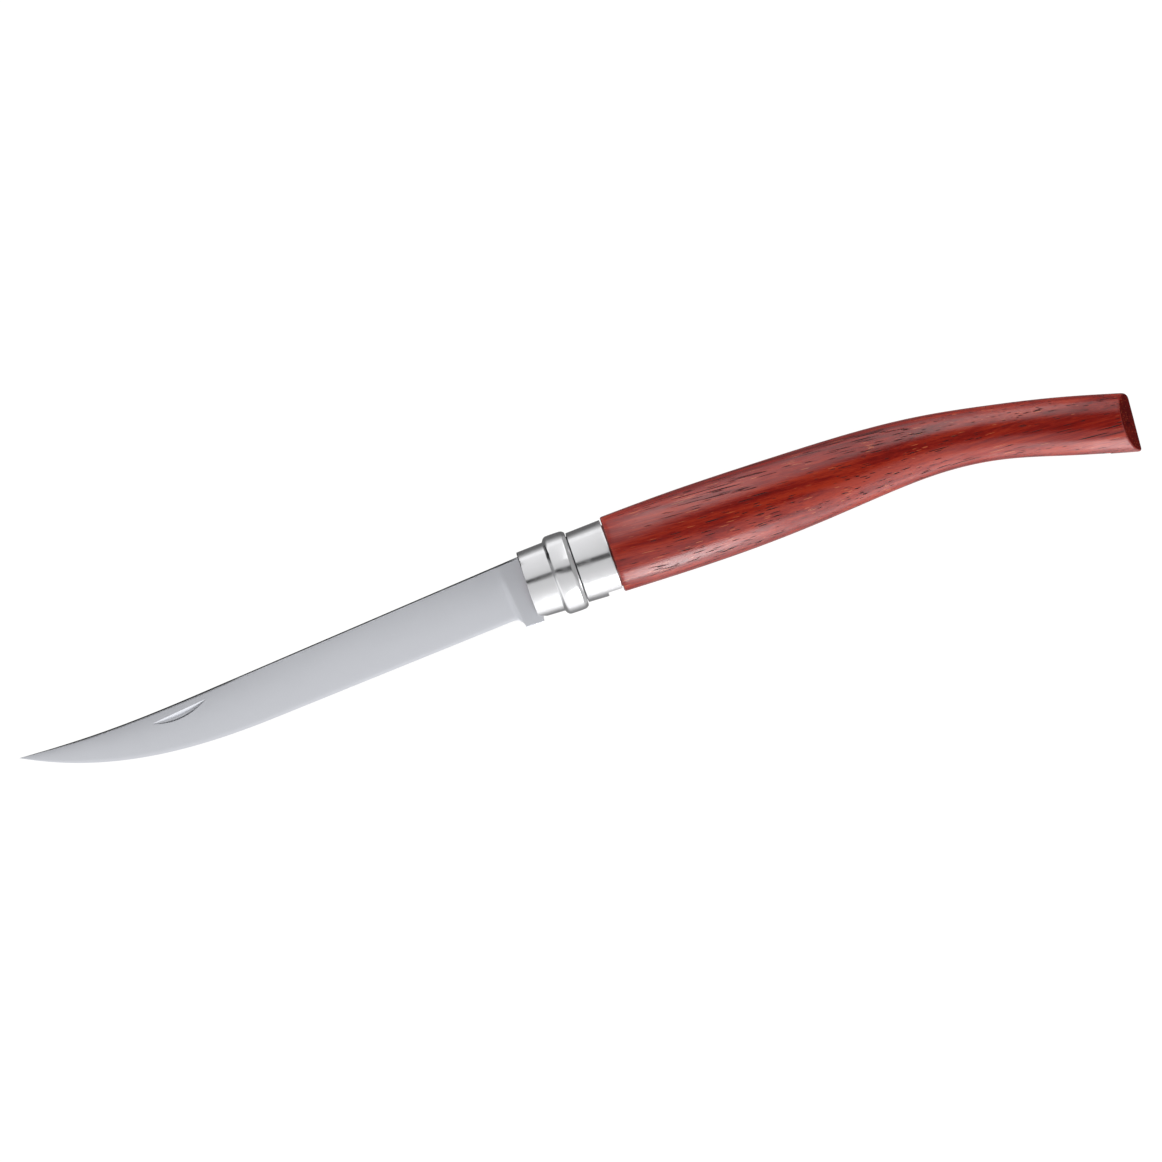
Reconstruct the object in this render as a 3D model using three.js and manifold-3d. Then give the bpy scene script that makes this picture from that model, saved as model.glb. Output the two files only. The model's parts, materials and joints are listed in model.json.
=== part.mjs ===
// A slim folding knife: a curved wooden handle, a pressed collar, a split ring that turns to lock, and a
// blade on a hidden pivot pin. Millimetres. X runs along the collar from the blade's point to the butt, Y
// points to the blade's spine, and Z is square to the blade, so the knife lies on its side. While it is
// modelled, X starts at the front edge of the ring and the X axis is the axis of collar and ring.
import * as THREE from "three";
import { mergeVertices } from "three/addons/utils/BufferGeometryUtils.js";
import Module from "manifold-3d";

// Blade: outline
const bladeLength = 120; // ring's front edge to the point
const spineHeight = 6.72; // spine above the axis at the ring
const spineFall = 0.0721; // fall of the straight spine for each millimetre towards the point
const clipLength = 43; // the last stretch of spine, which sweeps up to the point
const clipPull = 17.5; // how far the straight spine's direction carries into the clip
const pointHeight = 0.7; // point above the axis
const clipRise = 0.058; // rise of the spine for each millimetre at the point
const clipReach = 15.6; // how far the point's direction carries back into the clip
const edgeDepth = 6.58; // edge below the axis at the choil
const edgeFall = 0.0515; // fall of the straight edge for each millimetre towards the point
const bellyLength = 58; // the last stretch of edge, which curves up to the point
const bellyPull = 19; // how far the straight edge's direction carries into the belly
const bellyRise = 0.545; // rise of the edge for each millimetre at the point
const bellyReach = 19.1; // how far the point's direction carries back into the belly

// Blade: section
const bladeThickness = 1.8;
const pointThickness = 0.9; // spine's thickness near the point
const pointFade = 2.25; // height of the blade below which its whole section shrinks towards the point
const edgeThickness = 0.05; // width left on the cutting edge
const edgeBevel = 0.6; // height of the sharpened strip
const edgeShoulder = 0.36; // thickness above the sharpened strip
const spineBreak = 0.35; // broken corners of the spine
const plungeMiddle = 4.4; // middle of the run-out of the grind, in front of the ring
const plungeWidth = 2.8;

// Blade: nail nick
const nickFromPoint = 37.2; // point to the middle of the nick
const nickBelowSpine = 1.9;
const nickLength = 12.8;
const nickWidth = 1.6;
const nickDepth = 0.45;
const nickTilt = 0.1; // slope of the nick's straight wall against the axis
const nickRunout = 2; // length of the nick's cutter, in widths of the nick

// Blade: tang and kick
const pivotX = 6.25; // pivot pin behind the ring's front edge
const pivotY = -1.4; // pivot pin above the axis
const foldAngle = 176; // degrees from open to folded
const tangRadius = 5.2; // round end of the tang about the pivot
const kickDepth = 8.85; // bottom of the kick below the axis
const kickFront = 3.2; // kick's front corner in front of the ring's edge
const kickRear = 1; // kick's rear corner behind the ring's edge
const kickLean = 0.3; // how far the kick's rear face leans back on its way up
const shoulderEase = 0.45; // how far the spine drops at its eased corner, on its way into the ring
const easeFront = 0.1; // where that corner starts, in front of the ring's edge

// Pivot pin
const pinRadius = 1.5;
const pinChamfer = 0.2;
const pinFit = 0.1; // radial room in collar and tenon
const pivotClearance = 0.15; // radial room in the tang
const pinRecess = 0.05; // pin's ends below the collar's surface

// Lock ring
const coneSlope = 0.042; // growth in radius of ring and collar for each millimetre towards the handle
const ringRadius = 7.7; // outside of the ring at its front edge
const ringWall = 0.65;
const ringLength = 11.5;
const ringGap = 3; // the split that the blade folds through
const beadLength = 5.4; // the bead, from where the ring's cone turns up to the ring's rear edge
const beadCrest = 9.05; // outside radius of the bead
const beadCrown = 2.2; // flat stretch along the bead's crest
const beadShoulder = 1.9; // length of the bead's front shoulder
const beadFillet = 0.7; // hollow where the cone turns up into the bead
const lipLength = 0.45; // inward lip that hooks behind the collar's rib
const lipPlay = 0.2; // room along the axis between lip and rib
const runningClearance = 0.15; // radial room between ring and collar
const cornerCut = 1.9; // how far the near front corner at the split is cut back
const cornerCutWidth = 2.1; // width of that cut from the split
const rampStart = 1.95; // set-back of the lock ramp at the split
const rampEnd = 1.45; // set-back of the lock ramp at its far end
const rampTurn = 110; // degrees of the ramp about the axis, from below

// Fixed collar
const collarSetback = 0.6; // collar's front edge behind the ring's
const collarWall = 0.7;
const collarLength = 19.9; // ring's front edge to the collar's rear edge
const ribLength = 2.85; // the rib that holds the ring
const ribSlope = 0.5; // length of the rib's sloping flanks
const grooveRadius = 7.4; // outside of the collar behind the rib
const grooveLength = 0.45; // open groove between the ring and the visible cone behind it
const rearConeRadius = 8.2; // outside of that cone at its front
const coneStep = 0.15; // length of the step up to that cone
const collarSlotMargin = 0.3; // extra width of the collar's slot at each side
const notchLength = 3.3; // cut-out at the collar's rear edge, below
const notchHalfWidth = 4;

// Handle
const buttRoom = 8.15; // wood behind the folded blade's point, to the middle of the butt's ridge
const shoulderGap = 0.3; // between the collar's rear edge and the wood's shoulder
const tenonFit = 0.25; // radial room between tenon and collar
const tenonSetback = 0.4; // tenon's front end behind the collar's front edge
const tenonStepRoom = 0.4; // tenon's step behind the collar's
const tenonRoot = 3.5; // how far the tenon runs on into the grip
const slotSideClearance = 0.3; // room at each side of the blade
const slotRoom = 1; // room between the folded blade's edge and the roof of the slot
const shoulderStop = 0.35; // room between the blade's shoulder and the collar, open
const sectionFullness = 2.2; // exponent of the handle's oval section
const buttBevel = 3.5; // length of the two bevels that meet in the butt's ridge
const buttHalfWidth = 5.7; // half the handle's thickness where the bevels start
const buttLean = 4.5; // degrees that the ridge leans out at the top

// Heights above the axis and half thicknesses of the handle, at even steps from shoulder to butt
const handleTop = [9.05, 9.38, 9.3, 8.99, 8.42, 6.99, 4.33, 1.02, -3.1];
const handleBottom = [-8.5, -8.9, -8.94, -8.36, -7.3, -6.73, -8.49, -12.76, -16.9];
const handleSide = [8.75, 8.85, 8.8, 8.5, 7.9, 7.1, 6.4, 6, 5.8];

// Facets
const roundFacets = 60; // of ring, collar and tenon
const pinFacets = 32;
const sectionFacets = 36; // round the handle
const stepsPerStation = 4; // lofted sections for each step of the handle's tables
const curveFacets = 16; // along each arc or curve of an outline
const beadFacets = 8; // along each curve of the bead
const nickFacets = 280; // round the wide cutter of the nail nick
const weldDistance = 1e-4;

const slotWidth = bladeThickness + 2 * slotSideClearance;
const beadFront = ringLength - beadLength;
const ribRear = ringLength - lipLength - lipPlay;
const ribFront = ribRear - ribLength;
const rearConeFront = ringLength + grooveLength;
const plungeFront = -plungeMiddle - plungeWidth / 2;
const plungeRear = -plungeMiddle + plungeWidth / 2;
const choilRadius = kickDepth - edgeDepth;
const point = new THREE.Vector2(-bladeLength, pointHeight);
const pivot = new THREE.Vector2(pivotX, pivotY);
const fold = (p) => p.clone().rotateAround(pivot, THREE.MathUtils.degToRad(foldAngle));
const shoulderX = collarLength + shoulderGap;
const buttX = fold(point).x + buttRoom;
const beyond = buttX - shoulderX; // how far cutters reach past what they cut
const metal = { color: 0xc3c4c8, metalness: 1, roughness: 0.28 };
const wood = { color: 0x8a2a1a, metalness: 0, roughness: 0.45 };

const wasm = await Module();
wasm.setup();

// A closed geometry as a solid that can be joined and cut.
function solid(geometry) {
  const bare = new THREE.BufferGeometry();
  bare.setAttribute("position", geometry.getAttribute("position"));
  bare.setIndex(geometry.index);
  const merged = mergeVertices(bare, weldDistance);
  const corners = merged.index.array;
  const triangles = [];
  for (let i = 0; i < corners.length; i += 3) {
    const [a, b, c] = corners.slice(i, i + 3);
    if (a !== b && b !== c && c !== a) triangles.push(a, b, c);
  }
  const vertProperties = merged.getAttribute("position").array;
  const triVerts = Uint32Array.from(triangles);
  return new wasm.Manifold(new wasm.Mesh({ numProp: 3, vertProperties, triVerts }));
}

// A named mesh of a finished solid.
function piece(name, finished, finish) {
  const mesh = finished.getMesh();
  const geometry = new THREE.BufferGeometry();
  geometry.setAttribute("position", new THREE.BufferAttribute(mesh.vertProperties, mesh.numProp));
  geometry.setIndex(new THREE.BufferAttribute(mesh.triVerts, 1));
  geometry.computeVertexNormals();
  const made = new THREE.Mesh(geometry, new THREE.MeshStandardMaterial(finish));
  made.name = name;
  return made;
}

// The solid swept by a closed profile, x along the axis and y its radius, turning about the X axis.
function revolve(profile, facets = roundFacets) {
  const loop = profile.map((p) => new THREE.Vector2(p.y, p.x));
  if (THREE.ShapeUtils.isClockWise(loop)) loop.reverse();
  const geometry = new THREE.LatheGeometry([...loop, loop[0]], facets);
  return solid(geometry.rotateZ(-Math.PI / 2));
}

// A flat outline in the blade's plane, given an even thickness.
function plate(shape, thickness) {
  const geometry = new THREE.ExtrudeGeometry(shape, {
    depth: thickness,
    bevelEnabled: false,
    curveSegments: curveFacets,
  });
  geometry.translate(0, 0, -thickness / 2);
  return solid(geometry);
}

// A block between two corners.
function block(low, high) {
  const size = high.clone().sub(low);
  const middle = high.clone().add(low).multiplyScalar(0.5);
  const geometry = new THREE.BoxGeometry(size.x, size.y, size.z);
  return solid(geometry.translate(middle.x, middle.y, middle.z));
}

// A solid through rings of points, each ring closed on itself, with flat ends.
function loft(rings) {
  const count = rings[0].length;
  const corners = [];
  for (let r = 0; r + 1 < rings.length; r++) {
    for (let k = 0; k < count; k++) {
      const here = r * count + k;
      const next = r * count + ((k + 1) % count);
      corners.push(here, next, here + count, next, next + count, here + count);
    }
  }
  const last = (rings.length - 1) * count;
  for (let k = 1; k + 1 < count; k++) {
    corners.push(0, k + 1, k);
    corners.push(last, last + k, last + k + 1);
  }
  const geometry = new THREE.BufferGeometry().setFromPoints(rings.flat());
  geometry.setIndex(corners);
  return solid(geometry);
}

// A round bar along Z through the pivot.
function pivotBar(radius, length) {
  const geometry = new THREE.CylinderGeometry(radius, radius, length, pinFacets);
  return solid(geometry.rotateX(Math.PI / 2).translate(pivotX, pivotY, 0));
}

// Height of a flat curve, a list of points from the lowest x to the highest, at one x.
function heightAt(points, x) {
  const next = Math.max(1, points.findIndex((p) => p.x >= x));
  const a = points[next - 1];
  const b = points[next];
  return THREE.MathUtils.mapLinear(x, a.x, b.x, a.y, b.y);
}

const spineY = (x) => spineHeight + spineFall * x;
const edgeY = (x) => -edgeDepth + edgeFall * (x + kickFront + choilRadius);

// The spine from the point to the tang: a clip that sweeps up to the point, then a straight run.
function spineCurve() {
  const clipEnd = -bladeLength + clipLength;
  const path = new THREE.Path();
  path.moveTo(point.x, point.y);
  path.bezierCurveTo(
    point.x + clipReach,
    point.y - clipRise * clipReach,
    clipEnd - clipPull,
    spineY(clipEnd - clipPull),
    clipEnd,
    spineY(clipEnd),
  );
  path.lineTo(pivotX, spineY(pivotX));
  return path.getPoints(curveFacets);
}

// The edge from the point to the ricasso: a belly that curves down from the point, then a straight run.
function edgeCurve() {
  const bellyEnd = -bladeLength + bellyLength;
  const path = new THREE.Path();
  path.moveTo(point.x, point.y);
  path.bezierCurveTo(
    point.x + bellyReach,
    point.y - bellyRise * bellyReach,
    bellyEnd - bellyPull,
    edgeY(bellyEnd - bellyPull),
    bellyEnd,
    edgeY(bellyEnd),
  );
  path.lineTo(pivotX, edgeY(pivotX));
  return path.getPoints(curveFacets);
}

// Half the thickness of the blade's spine at one x: it thins towards the point.
function spineSide(x) {
  const share = THREE.MathUtils.clamp(-x / bladeLength, 0, 1);
  return THREE.MathUtils.lerp(bladeThickness, pointThickness, share) / 2;
}

// One section of the blade, ground flat from spine to edge in front of the plunge and square behind it.
function bladeSection(x, top, bottom) {
  const fade = Math.min(1, (top - bottom) / pointFade);
  const square = THREE.MathUtils.smoothstep(x, plungeFront, plungeRear);
  const side = THREE.MathUtils.lerp(spineSide(x) * fade, bladeThickness / 2, square);
  const shoulder = THREE.MathUtils.lerp((edgeShoulder / 2) * fade, side, square);
  const edge = THREE.MathUtils.lerp((edgeThickness / 2) * fade, side, square);
  const cut = spineBreak * fade * (1 - square);
  const bevel = edgeBevel * fade;
  const half = [
    [top, side - cut],
    [top - cut, side],
    [bottom + bevel, shoulder],
    [bottom, edge],
  ];
  const far = half.map(([y, z]) => [y, -z]).reverse();
  return [...half, ...far].map(([y, z]) => new THREE.Vector3(x, y, z));
}

// The ground part of the blade, from the point to the ricasso.
function groundBlade(spine, edge) {
  const stations = [...spine, ...edge].map((p) => p.x).filter((x) => x < plungeFront);
  for (let i = 0; i <= curveFacets; i++) stations.push(plungeFront + (plungeWidth * i) / curveFacets);
  const sorted = [...new Set(stations)].sort((a, b) => a - b);
  return loft(sorted.map((x) => bladeSection(x, heightAt(spine, x), heightAt(edge, x))));
}

// Ricasso, kick and tang in one outline.
function tangOutline() {
  const shoulder = collarSetback - shoulderStop;
  const shape = new THREE.Shape();
  shape.moveTo(plungeRear, spineY(plungeRear));
  shape.lineTo(-easeFront, spineY(-easeFront));
  shape.lineTo(shoulder, spineY(shoulder) - shoulderEase);
  shape.lineTo(shoulder, pivotY + tangRadius);
  shape.lineTo(pivotX, pivotY + tangRadius);
  shape.absarc(pivotX, pivotY, tangRadius, Math.PI / 2, -Math.PI / 2, true);
  shape.lineTo(kickRear + kickLean, pivotY - tangRadius);
  shape.lineTo(kickRear, -kickDepth);
  shape.lineTo(-kickFront, -kickDepth);
  shape.absarc(-kickFront - choilRadius, -kickDepth, choilRadius, 0, Math.PI / 2, false);
  shape.lineTo(plungeRear, edgeY(plungeRear) + edgeBevel);
  return shape;
}

// The cutter of the nail nick: a wide cone. Its flat end leaves the straight wall, its flank the hollow.
function nickCutter(spine, edge) {
  const x = -bladeLength + nickFromPoint;
  const top = heightAt(spine, x);
  const share = nickBelowSpine / (top - heightAt(edge, x));
  const surface = THREE.MathUtils.lerp(spineSide(x), edgeShoulder / 2, share);
  const radius = (nickLength ** 2 / 4 + nickDepth ** 2) / (2 * nickDepth);
  const reach = nickRunout * nickWidth;
  const geometry = new THREE.CylinderGeometry(radius, radius - nickRunout * nickDepth, reach, nickFacets);
  geometry.translate(0, -reach / 2, 0).rotateZ(nickTilt);
  return solid(geometry.translate(x, top - nickBelowSpine, surface + radius - nickDepth));
}

function makeBlade() {
  const spine = spineCurve();
  const edge = edgeCurve();
  const hole = pivotBar(pinRadius + pivotClearance, 2 * beyond);
  const blank = groundBlade(spine, edge).add(plate(tangOutline(), bladeThickness));
  return blank.subtract(hole).subtract(nickCutter(spine, edge));
}

const ringOutside = (x) => ringRadius + coneSlope * x;
const ringInside = (x) => ringOutside(x) - ringWall;
const collarOutside = (x) => ringInside(x) - runningClearance;
const collarInside = (x) => collarOutside(x) - collarWall;
const rearOutside = (x) => rearConeRadius + coneSlope * (x - rearConeFront);
const rearInside = (x) => rearOutside(x) - collarWall;

// The ring's wall: a cone in front, a crowned bead behind it and a lip that hooks behind the collar's rib.
function ringProfile() {
  const crownFront = beadFront + beadShoulder;
  const crownRear = crownFront + beadCrown;
  const lipInside = grooveRadius + runningClearance;
  const lipFront = ringLength - lipLength;
  const channelFront = beadFront + ringWall;
  const channel = beadCrest - ringWall;
  const outline = new THREE.Path();
  outline.moveTo(0, ringOutside(0));
  outline.lineTo(beadFront, ringOutside(beadFront));
  outline.bezierCurveTo(
    beadFront + beadFillet,
    ringOutside(beadFront),
    beadFront,
    beadCrest,
    crownFront,
    beadCrest,
  );
  outline.lineTo(crownRear, beadCrest);
  outline.quadraticCurveTo(ringLength, beadCrest, ringLength, lipInside + ringWall);
  outline.lineTo(ringLength, lipInside);
  outline.lineTo(lipFront, lipInside);
  outline.lineTo(lipFront, channel);
  outline.lineTo(channelFront + ringWall, channel);
  outline.lineTo(channelFront, ringInside(channelFront));
  outline.lineTo(0, ringInside(0));
  return outline.getPoints(beadFacets);
}

// Space in front of the lock ramp on the far side: the ramp comes forward slowly as it leaves the split.
function rampSpace() {
  const near = ringInside(0) - ringWall;
  const far = ringOutside(rampStart) + ringWall;
  const rings = [];
  for (let i = 0; i <= curveFacets; i++) {
    const turn = THREE.MathUtils.degToRad((rampTurn * i) / curveFacets);
    const setback = THREE.MathUtils.lerp(rampStart, rampEnd, i / curveFacets);
    const corners = [
      [-ringWall, near],
      [setback, near],
      [setback, far],
      [-ringWall, far],
    ];
    rings.push(corners.map(([x, r]) => new THREE.Vector3(x, -r * Math.cos(turn), -r * Math.sin(turn))));
  }
  return loft(rings);
}

// The cut corner of the ring on the near side, beside the split.
function cornerSpace() {
  const shape = new THREE.Shape();
  shape.moveTo(-ringWall, 0);
  shape.lineTo(cornerCut, 0);
  shape.lineTo(cornerCut, ringGap / 2);
  shape.lineTo(0, ringGap / 2 + cornerCutWidth);
  shape.lineTo(-ringWall, ringGap / 2 + cornerCutWidth);
  const geometry = new THREE.ExtrudeGeometry(shape, { depth: beyond, bevelEnabled: false });
  return solid(geometry.rotateX(Math.PI / 2));
}

// A straight cut from below, of one width, between two places along X.
function cutFromBelow(front, rear, width) {
  return block(
    new THREE.Vector3(front, -beyond, -width / 2),
    new THREE.Vector3(rear, 0, width / 2),
  );
}

function makeRing() {
  const split = cutFromBelow(-beyond, beyond, ringGap);
  return revolve(ringProfile()).subtract(split).subtract(rampSpace()).subtract(cornerSpace());
}

// The collar's wall: a cone under the ring, the rib that holds the ring, a groove and the visible cone.
function collarProfile() {
  const crest = beadCrest - ringWall - runningClearance;
  const step = rearConeFront - coneStep;
  const points = [
    [collarSetback, collarOutside(collarSetback)],
    [ribFront, collarOutside(ribFront)],
    [ribFront + ribSlope, crest],
    [ribRear - ribSlope, crest],
    [ribRear, grooveRadius],
    [step, grooveRadius],
    [rearConeFront, rearOutside(rearConeFront)],
    [collarLength, rearOutside(collarLength)],
    [collarLength, rearInside(collarLength)],
    [rearConeFront + collarWall, rearInside(rearConeFront + collarWall)],
    [step + collarWall, grooveRadius - collarWall],
    [collarSetback, collarInside(collarSetback)],
  ];
  return points.map(([x, r]) => new THREE.Vector2(x, r));
}

function makeCollar() {
  const slot = cutFromBelow(-beyond, beyond, slotWidth + 2 * collarSlotMargin);
  const notch = cutFromBelow(collarLength - notchLength, beyond, 2 * notchHalfWidth);
  const hole = pivotBar(pinRadius + pinFit, 2 * beyond);
  return revolve(collarProfile()).subtract(slot).subtract(notch).subtract(hole);
}

// The pin's ends stay below the collar's surface, clear of the ring that turns over them.
function makePin() {
  const outermost = Math.abs(pivotY) + pinRadius;
  const half = Math.sqrt(collarOutside(pivotX - pinRadius) ** 2 - outermost ** 2) - pinRecess;
  const profile = [
    [0, -half],
    [pinRadius - pinChamfer, -half],
    [pinRadius, -half + pinChamfer],
    [pinRadius, half - pinChamfer],
    [pinRadius - pinChamfer, half],
    [0, half],
  ];
  const points = profile.map(([r, z]) => new THREE.Vector2(r, z));
  const geometry = new THREE.LatheGeometry(points, pinFacets);
  return solid(geometry.rotateX(Math.PI / 2).translate(pivotX, pivotY, 0));
}

// A smooth curve through values given at even steps, from share 0 at the shoulder to share 1 at the butt.
function evenCurve(values) {
  const steps = values.map((_, i) => i / (values.length - 1));
  const curve = new THREE.CubicInterpolant(steps, values, 1);
  return (share) => curve.evaluate(share)[0];
}

const topAt = evenCurve(handleTop);
const bottomAt = evenCurve(handleBottom);
const sideAt = evenCurve(handleSide);

// One oval section of the handle.
function handleSection(share) {
  const middle = (topAt(share) + bottomAt(share)) / 2;
  const half = (topAt(share) - bottomAt(share)) / 2;
  const round = (v) => Math.sign(v) * Math.abs(v) ** (2 / sectionFullness);
  const ring = [];
  for (let k = 0; k < sectionFacets; k++) {
    const turn = (2 * Math.PI * k) / sectionFacets;
    const y = middle + half * round(Math.cos(turn));
    const z = sideAt(share) * round(Math.sin(turn));
    ring.push(new THREE.Vector3(THREE.MathUtils.lerp(shoulderX, buttX, share), y, z));
  }
  return ring;
}

// The grip, lofted from the shoulder to a little past the butt's ridge.
function grip() {
  const steps = stepsPerStation * (handleTop.length - 1);
  const rings = [];
  for (let i = 0; i <= steps; i++) rings.push(handleSection(i / steps));
  rings.push(handleSection(1 + buttBevel / (buttX - shoulderX)));
  return loft(rings);
}

// The stepped tenon that carries the collar.
function tenon() {
  const front = collarSetback + tenonSetback;
  const step = rearConeFront + collarWall + tenonStepRoom;
  const rear = rearInside(rearConeFront) - tenonFit;
  const points = [
    [front, 0],
    [front, collarInside(front) - tenonFit],
    [step, collarInside(step) - tenonFit],
    [step, rear],
    [shoulderX + tenonRoot, rear],
    [shoulderX + tenonRoot, 0],
  ];
  return revolve(points.map(([x, r]) => new THREE.Vector2(x, r)));
}

// What is cut off at the butt, outside the two bevels that meet in a ridge in the blade's plane.
function buttSpace() {
  const back = (-buttBevel / buttHalfWidth) * beyond;
  const shape = new THREE.Shape();
  shape.moveTo(0, 0);
  shape.lineTo(back, beyond);
  shape.lineTo(beyond, beyond);
  shape.lineTo(beyond, -beyond);
  shape.lineTo(back, -beyond);
  const geometry = new THREE.ExtrudeGeometry(shape, { depth: 2 * beyond, bevelEnabled: false });
  geometry.rotateX(Math.PI / 2).translate(0, beyond, 0);
  geometry.rotateZ(-THREE.MathUtils.degToRad(buttLean));
  return solid(geometry.translate(buttX, (topAt(1) + bottomAt(1)) / 2, 0));
}

// The fold slot: open below, through the top of the tenon over the folded kick, and behind that with a roof
// that follows the folded edge.
function slotOutline() {
  const choil = new THREE.Vector2(-kickFront - choilRadius, edgeY(-kickFront - choilRadius));
  const folded = [...edgeCurve().filter((p) => p.x < choil.x), choil].map(fold).reverse();
  const front = collarSetback;
  const kickEnd = fold(new THREE.Vector2(-kickFront, -kickDepth)).x + slotRoom;
  const shape = new THREE.Shape();
  shape.moveTo(front, -beyond);
  shape.lineTo(front, beyond);
  shape.lineTo(kickEnd, beyond);
  shape.lineTo(kickEnd, folded[0].y + slotRoom);
  folded.forEach((p, i) => {
    const before = folded[Math.max(i - 1, 0)];
    const after = folded[Math.min(i + 1, folded.length - 1)];
    const along = after.clone().sub(before).setLength(slotRoom);
    shape.lineTo(p.x - along.y, p.y + along.x);
  });
  const end = folded.at(-1);
  shape.lineTo(end.x + slotRoom, end.y);
  shape.lineTo(end.x + slotRoom, -beyond);
  return shape;
}

function makeHandle() {
  const slot = plate(slotOutline(), slotWidth);
  const hole = pivotBar(pinRadius + pinFit, 2 * beyond);
  return grip().subtract(buttSpace()).add(tenon()).subtract(slot).subtract(hole);
}

// The knife lies on its side, with the origin below the middle of its box.
const pieces = new THREE.Group();
pieces.add(
  piece("blade", makeBlade(), metal),
  piece("handle", makeHandle(), wood),
  piece("fixed_collar", makeCollar(), metal),
  piece("locking_ring", makeRing(), metal),
  piece("pivot_pin", makePin(), metal),
);
const bounds = new THREE.Box3().setFromObject(pieces);
const middle = bounds.getCenter(new THREE.Vector3());
pieces.position.set(-middle.x, -middle.y, -bounds.min.z);

const knife = new THREE.Group();
knife.add(pieces);
export default knife;
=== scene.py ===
# Looks of a slim folding knife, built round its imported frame. Shapes are worked out in millimetres in the
# knife's own frame: x from the ring's front edge to the butt, y to the spine, z to the near side.
import json
import math

import bmesh
import bpy
import numpy as np
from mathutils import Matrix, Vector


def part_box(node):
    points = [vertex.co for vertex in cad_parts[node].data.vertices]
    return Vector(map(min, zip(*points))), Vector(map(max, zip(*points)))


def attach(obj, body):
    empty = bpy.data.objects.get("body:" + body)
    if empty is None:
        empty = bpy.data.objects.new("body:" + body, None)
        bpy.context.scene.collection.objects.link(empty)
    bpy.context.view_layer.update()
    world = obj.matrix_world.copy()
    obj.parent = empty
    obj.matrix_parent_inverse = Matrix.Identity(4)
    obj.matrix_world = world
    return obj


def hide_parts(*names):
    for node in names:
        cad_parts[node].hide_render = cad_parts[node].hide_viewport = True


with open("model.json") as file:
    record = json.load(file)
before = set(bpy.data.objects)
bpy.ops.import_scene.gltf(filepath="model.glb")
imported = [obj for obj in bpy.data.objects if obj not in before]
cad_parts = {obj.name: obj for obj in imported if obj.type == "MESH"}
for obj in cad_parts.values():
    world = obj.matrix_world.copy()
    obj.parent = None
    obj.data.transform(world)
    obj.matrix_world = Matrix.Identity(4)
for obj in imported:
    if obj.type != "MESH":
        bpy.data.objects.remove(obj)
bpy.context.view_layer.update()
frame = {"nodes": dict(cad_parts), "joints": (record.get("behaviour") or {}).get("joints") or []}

scene = bpy.context.scene
millimetre = 0.001
mergeReach = 1e-7  # points nearer than this, in metres, become one
cutterSharpAngle = 40
joints = {joint["name"]: joint for joint in frame["joints"]}
ringAxis = joints["ring_turn"]["pos_m"]
origin = np.array([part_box("locking_ring")[0].x, ringAxis[1], ringAxis[2]])
pivot = (np.array(joints["blade_fold"]["pos_m"]) - origin)[:2] / millimetre
foldTurn = math.radians(joints["blade_fold"]["range_deg"][1])
print("frame loaded, knife origin at", origin.round(5))


# Lines and meshes

def nodeLength(node):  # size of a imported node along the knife's axis
    low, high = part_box(node)
    return (high.x - low.x) / millimetre


def nodeRear(node):
    return (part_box(node)[1].x - origin[0]) / millimetre


def smoothStep(start, end, value):
    share = np.clip((value - start) / (end - start), 0, 1)
    return share * share * (3 - 2 * share)


def mix(a, b, share):
    return a + (b - a) * share


def bezier(controls, count):
    t = np.linspace(0, 1, count)[:, None]
    a, b, c, d = np.array(controls, float)
    return (1 - t) ** 3 * a + 3 * (1 - t) ** 2 * t * b + 3 * (1 - t) * t ** 2 * c + t ** 3 * d


def roundedLine(corners, steps=7, hold=0.05):
    # corners are (x, y, radius); a point on each side of every arc keeps the flats flat under smooth shading
    line = []
    for i, (x, y, radius) in enumerate(corners):
        here = np.array([x, y])
        if radius == 0:
            line.append(here)
            continue
        before = np.array(corners[i - 1][:2]) - here
        after = np.array(corners[(i + 1) % len(corners)][:2]) - here
        before /= np.linalg.norm(before)
        after /= np.linalg.norm(after)
        half = math.acos(np.clip(before @ after, -1, 1)) / 2
        reach = radius / math.tan(half)
        inward = (before + after) / np.linalg.norm(before + after)
        middle = here + inward * radius / math.sin(half)
        turn = np.linspace(-1, 1, steps) * (math.pi / 2 - half)
        square = (after - before) / np.linalg.norm(after - before)
        line.append(here + before * (reach + hold))
        line += [middle + radius * (math.sin(t) * square - math.cos(t) * inward) for t in turn]
        line.append(here + after * (reach + hold))
    return np.array(line)


def inset(line, distance):  # an open line, each point moved to its right, and its ends straight up or down
    moved = np.array(line)
    steps = np.diff(line, axis=0)
    steps /= np.linalg.norm(steps, axis=1)[:, None]
    right = np.stack([steps[:, 1], -steps[:, 0]], axis=1)
    both = right[:-1] + right[1:]
    spread = 1 + np.sum(right[:-1] * right[1:], axis=1)
    moved[1:-1] += both * (distance[1:-1] / spread)[:, None]
    moved[0] += (0, -distance[0])
    moved[-1] += (0, distance[-1])
    return moved


def ringFaces(rings, count, first=0):  # quads between rings of points that are closed on themselves
    faces = []
    for r in range(rings - 1):
        for k in range(count):
            here = first + r * count + k
            beside = first + r * count + (k + 1) % count
            faces.append((here, beside, beside + count, here + count))
    return faces


def shadeMesh(mesh, sharpAngle):  # merges doubles, turns the faces outwards, smooths all but the sharp edges
    work = bmesh.new()
    work.from_mesh(mesh)
    bmesh.ops.remove_doubles(work, verts=work.verts, dist=mergeReach)
    bmesh.ops.recalc_face_normals(work, faces=work.faces)
    if work.calc_volume(signed=True) < 0:
        bmesh.ops.reverse_faces(work, faces=work.faces)
    work.to_mesh(mesh)
    work.free()
    mesh.shade_smooth()
    mesh.set_sharp_from_angle(angle=math.radians(sharpAngle))


def newObject(name, data):
    made = bpy.data.objects.new(name, data)
    scene.collection.objects.link(made)
    return made


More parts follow.
